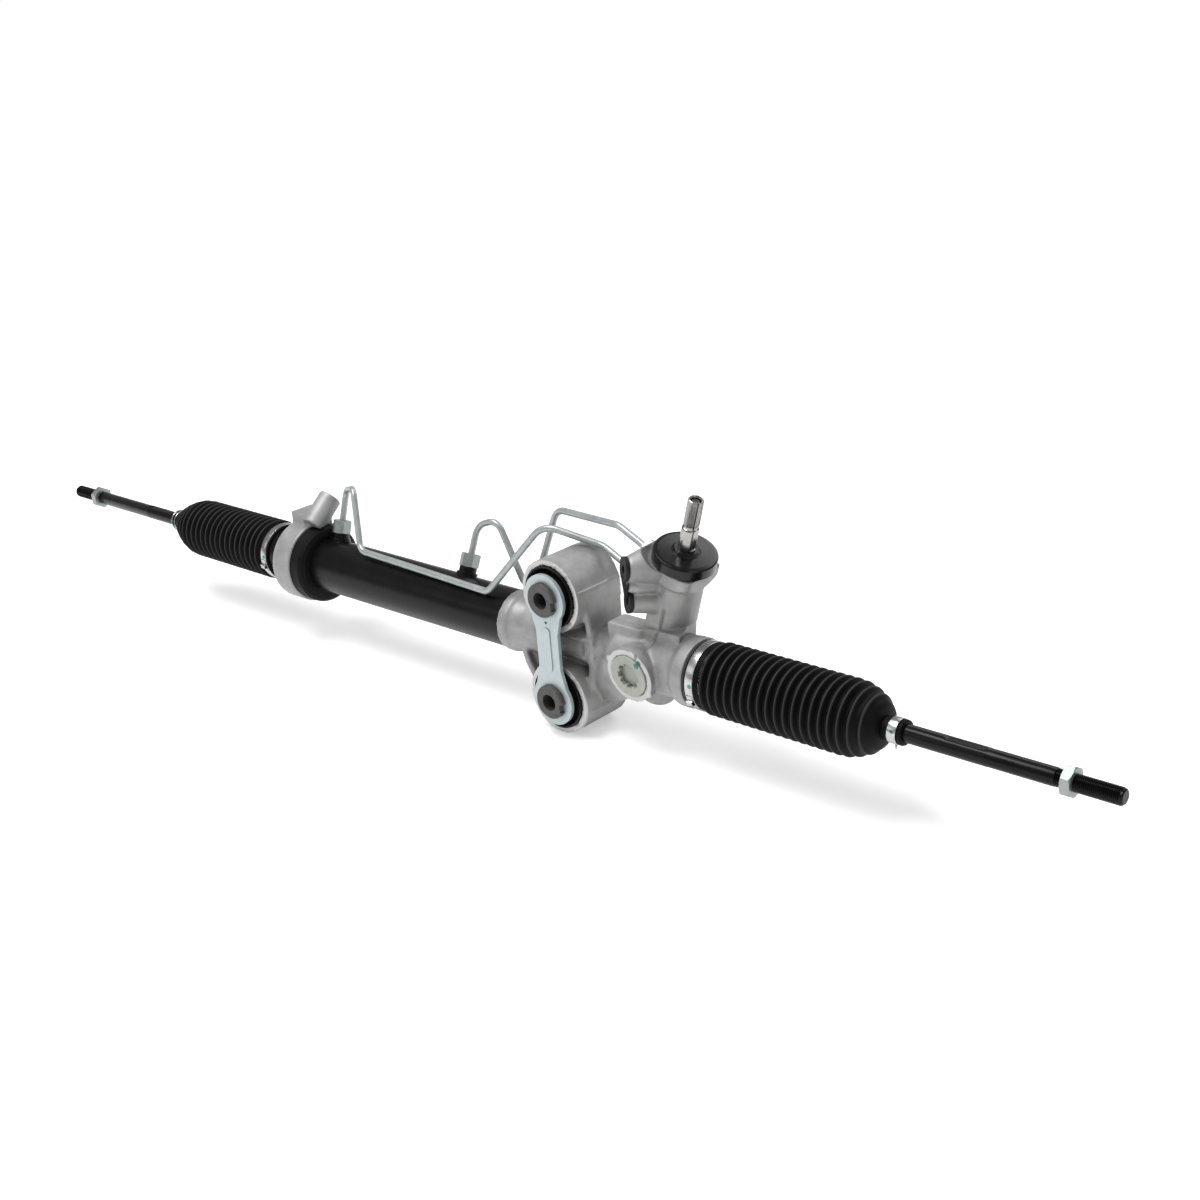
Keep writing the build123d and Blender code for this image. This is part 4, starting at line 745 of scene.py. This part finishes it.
# %% [markdown]
# The plug that presses the yoke against the rack is dull metal with a wide, shallow recess, notched for
# its wrench. It is turned like the other round pieces, and a rule of the angle lets eight lands stand
# into the recess.

# %% Yoke plug
PLUG_R = 19.3
PLUG_LOW, PLUG_FACE = 24.0, 35.0
RECESS_R, RECESS_DEEP = 11.6, 5.0
LANDS, LAND_SHARE, LAND_HIGH = 8, 0.2, 1.5


def notched(along, radius, angle):
    """The wall of the recess, with its lands standing inwards."""
    wall = (radius > RECESS_R - 0.1) & (radius < RECESS_R + 1)
    land = np.abs((angle * LANDS / (2 * math.pi)) % 1 - 0.5) < LAND_SHARE
    return along, np.where(wall & land, radius - LAND_HIGH, radius)


plug_axis = ((PINION_X, 0, -BUSH_Z), tuple(YOKE), tuple(RISE))
plug_rows = [(PLUG_LOW, 0), (PLUG_LOW, PLUG_R), (PLUG_FACE - 0.5, PLUG_R), (PLUG_FACE, PLUG_R - 0.6),
             (PLUG_FACE, RECESS_R + 0.7), (PLUG_FACE - 0.4, RECESS_R), (PLUG_FACE - RECESS_DEEP, RECESS_R),
             (PLUG_FACE - RECESS_DEEP, RECESS_R - 2.5), (PLUG_FACE - RECESS_DEEP, 0)]
plug_mesh = turned("plug", plug_axis, plug_rows, 160, notched, closed=False)
dress("notched_yoke_plug", plug_mesh, plug_metal, "housing", ["yoke_plug"], 30)
print("yoke plug", len(plug_mesh.polygons), "faces")

# %% [markdown]
# The far bracket is a smaller casting of the same metal: a ring round the rubber, and a lug with a
# threaded hole.

# %% Far bracket
RING_HOLE_R = 38.5


def held_bracket(points):
    """1 in the hole of the ring, where the rubber sits, 0 on the rest of the casting."""
    inside = np.hypot(points[:, 1], points[:, 2] + BUSH_Z) < RING_HOLE_R
    return inside.astype(float)


bracket_mesh = recast("end_bracket", grain_mm=0.8, rounds=8, hold=held_bracket, keep=0.4)
dress("end_bracket_casting", bracket_mesh, bracket_skin, "housing", ["end_bracket"], 55)
print("bracket casting", len(bracket_mesh.polygons), "faces")

# %% [markdown]
# Each gaiter is a blow-moulded rubber concertina: a cuff, nineteen folds, a dome and a small cuff that
# grips the tie rod. A fold is a narrow rounded crest with a wider valley, so the profile is a raised
# cosine sharpened by a power. The crests follow an envelope that is straight and then rounds off, and the
# last folds ride down that dome. A dome is given by two powers and the length of the neck after it, and a
# tail is what stands past the middle of the small cuff.

# %% Gaiter profile
CREST_R, VALLEY_R = 31.7, 26.9
CUFF_R = 29.4
RUBBER = 2.0
SMALL_CUFF_R = 10.0
CLAMP_HALF = 4.0
ROD_R = 7.5
TUBE_R = 27.5
SEAT_HALF = CLAMP_HALF + 0.6
LIP = 2.2
FOLD_POWER = 1.25
DOME_ROWS = 14
LAST_SUNK = 0.16
DOMES = {"right": (1.35, 0.42, 5.5), "left": (1.4, 0.86, 0.0)}
TAILS = {"right": 8.5, "left": 7.0}


def envelope(along, shoulder, small, dome):
    """Radius of the crests: straight to the shoulder, then a dome down to the neck before the small cuff."""
    inner_power, outer_power, neck = dome
    t = min(1.0, max(0.0, (along - shoulder) / (small - SEAT_HALF - neck - shoulder)))
    return SMALL_CUFF_R + (CREST_R - SMALL_CUFF_R) * (1 - t ** inner_power) ** outer_power


def gaiter_outside(cuff, shoulder, folds_end, small, dome, tail):
    """Outer profile of a gaiter from its big cuff, in millimetres away from the middle of the rack."""
    start = cuff + FOLDS_AT
    pitch = (folds_end - start) / FOLDS
    steps = 12
    rows = [(cuff, CUFF_R - 0.5), (cuff + 0.4, CUFF_R), (cuff + 1.2, CUFF_R + 0.5), (cuff + 2, CUFF_R + 0.3),
            (cuff + LIP, CUFF_R), (cuff + CUFF_LONG - 3, CUFF_R), (cuff + CUFF_LONG - 2, CUFF_R + 0.2)]
    for k in range(FOLDS * steps + 1):
        t = k / steps
        wave = (0.5 - 0.5 * math.cos(2 * math.pi * t)) ** FOLD_POWER
        crest = envelope(start + pitch * t, shoulder, small, dome)
        deep = (CREST_R - VALLEY_R) * min(1.0, (FOLDS + 0.4 - t) / 2.5)
        rows.append((start + pitch * t, crest - deep * (1 - wave)))
    reach = small - SEAT_HALF - folds_end
    for k in range(1, DOME_ROWS + 1):
        along = folds_end + reach * k / DOME_ROWS
        sunk = (CREST_R - VALLEY_R) * LAST_SUNK * max(0, 1 - k / 4)
        rows.append((along, envelope(along, shoulder, small, dome) - sunk))
    rows += [(small + SEAT_HALF, SMALL_CUFF_R), (small + SEAT_HALF + 0.8, SMALL_CUFF_R + 0.5),
             (small + tail - 1.4, SMALL_CUFF_R + 0.5),
             (small + tail - 0.4, SMALL_CUFF_R), (small + tail, SMALL_CUFF_R - 0.8)]
    return rows


def gaiter_inside(outside, cuff, small):
    """Inner profile: a wall's thickness inside the outer one, and tight on the housing and the rod."""
    rows = []
    for along, radius in outside:
        if along < cuff + CUFF_LONG:
            rows.append((along, TUBE_R + 0.02))
        elif along > small - CLAMP_HALF - 1:
            rows.append((along, ROD_R + 0.06))
        else:
            rows.append((along, max(radius - RUBBER, ROD_R + 0.06)))
    return rows


print("gaiter folds", FOLDS, "crests", CREST_R, "mm valleys", VALLEY_R, "mm")

# %% [markdown]
# On the real one the large cuff stays with the housing while the small one travels with the tie rod. So
# the gaiter is made in three lengths that meet ring to ring, each named for two bodies that a joint
# connects. A length is given by where it ends, its two bodies, and where the bending starts.

# %% Gaiters
RING_POINTS = 96
LENGTHS = {
    "right": ((275.0, "housing", "rack", 161.5), (303.0, "rack", "right_seat", 275.0),
              (math.inf, "right_seat", "right_tie", 303.0)),
    "left": ((548.0, "housing", "rack", 436.0), (572.0, "rack", "left_seat", 548.0),
             (math.inf, "left_seat", "left_tie", 572.0)),
}
for side, lengths in LENGTHS.items():
    places = GAITERS[side]
    way = 1 if side == "right" else -1
    axis = ((0, 0, -BUSH_Z), (way, 0, 0), (0, 0, 1))
    outside = gaiter_outside(*places, DOMES[side], TAILS[side])
    inside = gaiter_inside(outside, places[0], places[3])
    cuts = [min(range(len(outside)), key=lambda k, at=at: abs(outside[k][0] - at)) for at, *_ in lengths[:2]]
    bounds = [0, *cuts, len(outside) - 1]
    for (first, last), (_, near, far, start) in zip(zip(bounds, bounds[1:]), lengths):
        out_rows, in_rows = outside[first:last + 1], inside[first:last + 1]
        rows = in_rows[::-1] + out_rows if first == 0 else out_rows + in_rows[::-1]
        name = f"{side}_gaiter_{near}_to_{far}"
        mesh = turned(name, axis, rows, RING_POINTS, closed=False)
        piece = dress(name, mesh, gaiter_rubber, None, [f"{side}_bellows"], 60)
        end = outside[last][0] if last < len(outside) - 1 else places[3] - CLAMP_HALF
        way * start * MM
        way * end * MM
        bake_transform(piece)
    print(side, "gaiter", len(outside), "rings")

# %% [markdown]
# The big cuffs are held by crimped stainless bands. The band is a flat strip whose ends overlap; a raised
# ear is squeezed to draw it tight. The strip is turned, and the ear is a bent strip set across the joint.

# %% Big clamps
BAND_WIDE = 8.0
BAND = 0.8
EAR_HALF = 0.105
EAR_RISE = [(1.0, BAND), (0.75, 1.6), (0.7, 3.0), (0.35, 3.5)]
EAR_DIP = 2.9
LAP_FROM, LAP_STEP = 0.3, 0.08
EAR_TURNS = {"right": math.radians(117), "left": math.radians(-103)}


def strip(axis, path, low, high, thick):
    """Strip of sheet bent round an axis: path is (angle, radius), its width lies between low and high."""
    origin, along, up = (np.array(v, float) for v in axis)
    side = np.cross(along, up)
    points = []
    for angle, radius in path:
        out = math.cos(angle) * up + math.sin(angle) * side
        for where, r in ((low, radius), (high, radius), (high, radius + thick), (low, radius + thick)):
            points.append(origin + along * where + out * r)
    faces = []
    for i in range(len(path) - 1):
        for j in range(4):
            k = (j + 1) % 4
            faces.append((4 * i + j, 4 * i + k, 4 * i + 4 + k, 4 * i + 4 + j))
    last = 4 * len(path) - 4
    faces += [(0, 1, 2, 3), (last, last + 1, last + 2, last + 3)]
    return mesh_of("strip", points, faces)


def band_rows(start, radius, wide, thick):
    """Section of a band with its edges rounded."""
    edge = 0.25
    end, top = start + wide, radius + thick
    return [(start, radius), (start, top - edge), (start + edge, top), (end - edge, top), (end, top - edge),
            (end, radius)]


def big_clamp(side, cuff):
    way = 1 if side == "right" else -1
    axis = ((0, 0, -BUSH_Z), (way, 0, 0), (0, 0, 1))
    low, high = cuff + LIP, cuff + LIP + BAND_WIDE
    turn = EAR_TURNS[side]
    band = turned("band", axis, band_rows(low, CUFF_R + 0.02, BAND_WIDE, BAND), 128)
    rise = [(-EAR_HALF - 0.12, BAND)] + [(-EAR_HALF * part, lift) for part, lift in EAR_RISE]
    fall = [(-angle, lift) for angle, lift in reversed(rise)]
    ear_path = [(turn + angle, CUFF_R + lift) for angle, lift in (*rise, (0.0, EAR_DIP), *fall)]
    ear = strip(axis, ear_path, low + 1, high - 1, 0.6)
    lap_path = [(turn + LAP_FROM + k * LAP_STEP, CUFF_R + BAND) for k in range(12)]
    lap = strip(axis, lap_path, low + 0.8, high - 0.8, 0.5)
    mesh = clean_join(band, ear, lap)
    mesh = with_modifier(mesh, "BEVEL", width=0.12 * MM, segments=2, limit_method="ANGLE")
    dress(f"{side}_crimped_band", mesh, spring_steel, "housing", [f"{side}_big_clamp"], 35)


for side in GAITERS:
    big_clamp(side, GAITERS[side][0])
print("crimped bands on both large cuffs")

# %% [markdown]
# The small cuffs are gripped by springs, opened by squeezing two ends together. The near one is a flat
# band with two tangs, the far one two turns of round wire with a loop standing off.

# %% Small clamps
TURNS_OFF = 2.6
WIRE = 1.0


def flat_spring(axis, middle, way):
    radius = SMALL_CUFF_R + 0.05
    meshes = [turned("band", axis, band_rows(middle - CLAMP_HALF, radius, 2 * CLAMP_HALF, BAND), 96)]
    for turn, low in ((150, middle + 1.8), (-150, middle - 3.8)):
        angle = math.radians(turn) * way
        tang = [(angle - 0.10, radius + 0.4), (angle - 0.05, radius + 2.6), (angle, radius + 3.4)]
        meshes.append(strip(axis, tang, low, low + 2, 0.6))
    return with_modifier(clean_join(*meshes), "BEVEL", width=0.1 * MM, segments=2, limit_method="ANGLE")


def wire_spring(axis, middle, wire):
    radius = SMALL_CUFF_R + wire + 0.02
    circle = [(wire * math.cos(a), wire * math.sin(a)) for a in np.arange(10) * math.pi / 5]
    rings = [turned("turn", axis, [(middle + off + a, radius + b) for a, b in circle], 64)
             for off in (-TURNS_OFF, TURNS_OFF)]
    origin, along, _ = (np.array(v, float) for v in axis)
    half_bow = [(TURNS_OFF, 0.0), (TURNS_OFF, 2.5), (3.2, 6.0), (1.6, 8.4)]
    bow = [(-off, drop) for off, drop in half_bow] + half_bow[::-1]
    points = []
    for k, (off, drop) in enumerate(bow):
        before, after = bow[max(k - 1, 0)], bow[min(k + 1, len(bow) - 1)]
        way = np.array([after[0] - before[0], after[1] - before[1]])
        across = np.array([-way[1], way[0]]) / np.hypot(*way)
        for a, b in circle:
            down = radius + drop + across[1] * a
            points.append(origin + along * (middle + off + across[0] * a) + np.array((0, -b, -down)))
    return clean_join(*rings, mesh_of("bow", points, grid_faces(len(bow), len(circle), False)))


for side, (*_, middle) in GAITERS.items():
    way = 1 if side == "right" else -1
    axis = ((0, 0, -BUSH_Z), (way, 0, 0), (0, 0, 1))
    mesh = flat_spring(axis, middle, way) if side == "right" else wire_spring(axis, middle, WIRE)
    replaced = [f"{side}_small_clamp"]
    dress(f"{side}_small_spring", mesh, spring_steel, f"{side}_tie", replaced, 35)
print("springs on both small cuffs")

# %% [markdown]
# A tie rod is forged bar: a ball on its inner end, a shank with two flats for a wrench, and a rolled
# thread. The thread is cut for real: the radius of every point follows a ridge that climbs one pitch per
# turn. It could be a bump, but the nut and the end of the rod show its teeth against the light.

# %% Tie rods
THREAD_R = 7.0
PITCH = 1.5
THREAD_DEEP = 0.85
FLATS_LONG = 37.0
FLAT_AT = 6.3
BALL_R = 14.0
THREAD_BACK, THREAD_TIP = 10.5, 2.0


def rod_profile(ball, flats, nut, end):
    """Profile of a rod from its ball to its end, in millimetres along the rack."""
    start, stop = nut - THREAD_BACK, end - THREAD_TIP
    rows = [(ball + BALL_R * -math.cos(a), BALL_R * math.sin(a)) for a in np.linspace(0, math.pi * 0.845, 22)]
    rows += [(ball + 22, 6.5), (ball + 26, ROD_R), (flats, ROD_R), (flats + 2, ROD_R), (flats + 2.6, ROD_R)]
    rows += [(flats + FLATS_LONG - 2.6, ROD_R), (flats + FLATS_LONG - 2, ROD_R), (flats + FLATS_LONG, ROD_R),
             (flats + FLATS_LONG + 1, ROD_R - 0.2), (start - 1, ROD_R - 0.2), (start, THREAD_R)]
    steps = int((stop - start) / (PITCH / 6))
    rows += [(start + (k + 1) * (stop - start) / steps, THREAD_R) for k in range(steps)]
    rows += [(end - 1, THREAD_R - 0.75), (end - 0.4, THREAD_R - 1.3), (end, THREAD_R - 1.9), (end, 0)]
    return rows


def rod_rule(flats, nut, end):
    """The rule that cuts the thread and the two flats of a rod."""
    def rule(along, radius, angle):
        turn = along / PITCH - angle / (2 * math.pi)
        ridge = np.abs((turn % 1) - 0.5) * 2
        in_thread = (along > nut - THREAD_BACK + 0.1) & (along <= end - THREAD_TIP)
        radius = np.where(in_thread, radius - THREAD_DEEP * np.clip(ridge * 1.25 - 0.12, 0, 1), radius)
        flat = (along > flats + 1.9) & (along < flats + FLATS_LONG - 1.9)
        limit = FLAT_AT / np.maximum(np.abs(np.cos(angle)), 0.05)
        return along, np.where(flat, np.minimum(radius, limit), radius)
    return rule


RODS = {"right": (270.5, 380.0, 482.5, 524.0), "left": (544.0, 645.0, 791.0, 839.0)}
for side, (ball, flats, nut, end) in RODS.items():
    way = 1 if side == "right" else -1
    axis = ((0, 0, -BUSH_Z), (way, 0, 0), (0, 0, 1))
    profile, rule = rod_profile(ball, flats, nut, end), rod_rule(flats, nut, end)
    mesh = turned(f"{side}_rod", axis, profile, 48, rule, closed=False)
    dress(f"{side}_threaded_tie_rod", mesh, rod_paint, f"{side}_tie", [f"{side}_tie_rod"], 32)
    print(side, "tie rod", len(mesh.polygons), "faces")

# %% [markdown]
# The input shaft is ground steel with rolled serrations for the joint of the steering column, a flat for
# its clamp bolt and a drilled end, where the torsion bar is pinned. Serrations are a rule of the angle,
# the flat cuts across them, and a narrow slot marks the straight-ahead position.

# %% Input shaft
SHAFT_TOP = 163.8
SHAFT_R, SPLINE_R = 7.4, 6.8
GROOVE = 135.0
TEETH = 36
SHAFT_FLAT = 6.4
HEAD_BORE = 4.3
FLAT_LOW = 115.5
SERRATION = 0.75
SLOT_TURN, SLOT_HALF = math.radians(57), 0.075
SLOT_LOW, SLOT_DEEP = 102.0, 1.1


def shaft_rule(along, radius, angle):
    """Serrations round the head, a flat across them, and the slot of the straight-ahead position."""
    toothed = (along > GROOVE + 3.6) & (along < SHAFT_TOP - 0.6) & (radius > HEAD_BORE + 1)
    ridge = np.abs((angle * TEETH / (2 * math.pi)) % 1 - 0.5) * 2
    radius = np.where(toothed, radius - SERRATION * ridge, radius)
    across = np.sin(angle)
    skin = (along > FLAT_LOW) & (radius > HEAD_BORE + 1)
    radius = np.where(skin & (across > 0.3), np.minimum(radius, SHAFT_FLAT / np.maximum(across, 0.3)), radius)
    slot = (along > SLOT_LOW) & (radius > HEAD_BORE + 1) & (np.abs(angle - SLOT_TURN) < SLOT_HALF)
    return along, np.where(slot, radius - SLOT_DEEP, radius)


inner = [(SHAFT_TOP - 0.5, HEAD_BORE + 0.6), (SHAFT_TOP - 1.4, HEAD_BORE + 0.02), (41.0, HEAD_BORE)]
outer = [(41.0, 10.95), (79.0, 10.95), (79.0, 9.0), (99.6, 9.0), (101.1, SHAFT_R), (FLAT_LOW - 0.1, SHAFT_R),
         (FLAT_LOW + 0.1, SHAFT_R), (GROOVE - 0.6, SHAFT_R), (GROOVE, SHAFT_R - 0.3),
         (GROOVE + 0.8, SPLINE_R - 0.9), (GROOVE + 3, SPLINE_R - 0.9), (GROOVE + 3.8, SPLINE_R),
         (150, SPLINE_R), (SHAFT_TOP - 1.2, SPLINE_R), (SHAFT_TOP - 0.5, SPLINE_R - 0.4),
         (SHAFT_TOP, SPLINE_R - 1), (SHAFT_TOP, HEAD_BORE + 1.1)]
shaft_mesh = turned("shaft", PINION_AXIS, outer + inner, TEETH * 6, shaft_rule)
dress("serrated_input_shaft", shaft_mesh, shaft_steel, "input", ["input_shaft"], 30)
print("input shaft", len(shaft_mesh.polygons), "faces")

# %% [markdown]
# The light is that of a white studio table: one broad lamp overhead for the shape, weaker ones in front
# and on the right, and one behind for the rims. The floor goes to pure white away from the rack but keeps
# the shadow close to it.

# %% Floor and lights
FLOOR_GAP = 0.5
FLOOR_HALF = 30.0
WHITE_FROM, WHITE_BY = 0.9, 2.6
floor_z = solid_low.z - FLOOR_GAP * MM
floor_mesh = bpy.data.meshes.new("floor")
corners = [(x * FLOOR_HALF, y * FLOOR_HALF) for x, y in ((-1, -1), (1, -1), (1, 1), (-1, 1))]
floor_mesh.from_pydata([(x, y, floor_z) for x, y in corners], [], [(0, 1, 2, 3)])
floor = bpy.data.objects.new("floor", floor_mesh)
bpy.context.scene.collection.objects.link(floor)

paper = Finish("paper", Roughness=0.9)
paper.set("Base Color", (0.86, 0.86, 0.86, 1.0))
far = paper.node("ShaderNodeVectorMath", {"operation": "LENGTH"}, {0: paper.place()}, out=1)
away = paper.step(far, WHITE_FROM, WHITE_BY)
seen = paper.node("ShaderNodeLightPath", out=0)
glossy = paper.node("ShaderNodeLightPath", out=3)
lift = paper.between(away, (0.42, 0.42, 0.42), (1.0, 1.0, 1.0))
paper.set("Emission Color", paper.over(1 - (seen + glossy).clamped(), lift, (0, 0, 0)))
paper.shader.inputs["Emission Strength"].default_value = 1.0
floor_mesh.materials.append(paper.material)

FILL = 0.30
world = bpy.data.worlds.new("studio")
bpy.context.scene.world = world
world.use_nodes = True
sky = world.node_tree
path = sky.nodes.new("ShaderNodeLightPath")
strength = sky.nodes.new("ShaderNodeMapRange")
strength.inputs["To Min"].default_value = FILL
sky.links.new(path.outputs["Is Camera Ray"], strength.inputs["Value"])
sky.links.new(strength.outputs[0], sky.nodes["Background"].inputs["Strength"])
sky.nodes["Background"].inputs["Color"].default_value = (1, 1, 1, 1)

AIM = Vector((0, 0, -0.05))
LAMP_SHAPE = 0.6
LAMPS = {
    "key": ((-0.5, -0.6, 2.1), 1.6, 44),
    "front": ((-1.3, -1.8, 1.0), 1.2, 3.5),
    "side": ((1.9, -0.5, 0.9), 0.8, 2),
    "rim": ((0.2, 1.7, 1.5), 1.8, 14),
}
for name, (place, size, watts) in LAMPS.items():
    lamp_data = bpy.data.lights.new(name, "AREA")
    lamp_data.shape = "RECTANGLE"
    lamp_data.size = size
    lamp_data.size_y = size * LAMP_SHAPE
    lamp_data.energy = watts
    lamp = bpy.data.objects.new(name, lamp_data)
    bpy.context.scene.collection.objects.link(lamp)
    lamp.location = place
    lamp.rotation_euler = (AIM - Vector(place)).to_track_quat("-Z", "Y").to_euler()
bpy.context.scene.view_settings.view_transform = "Standard"
print("floor at", round(floor_z, 4), "lamps", list(LAMPS))

# %% [markdown]
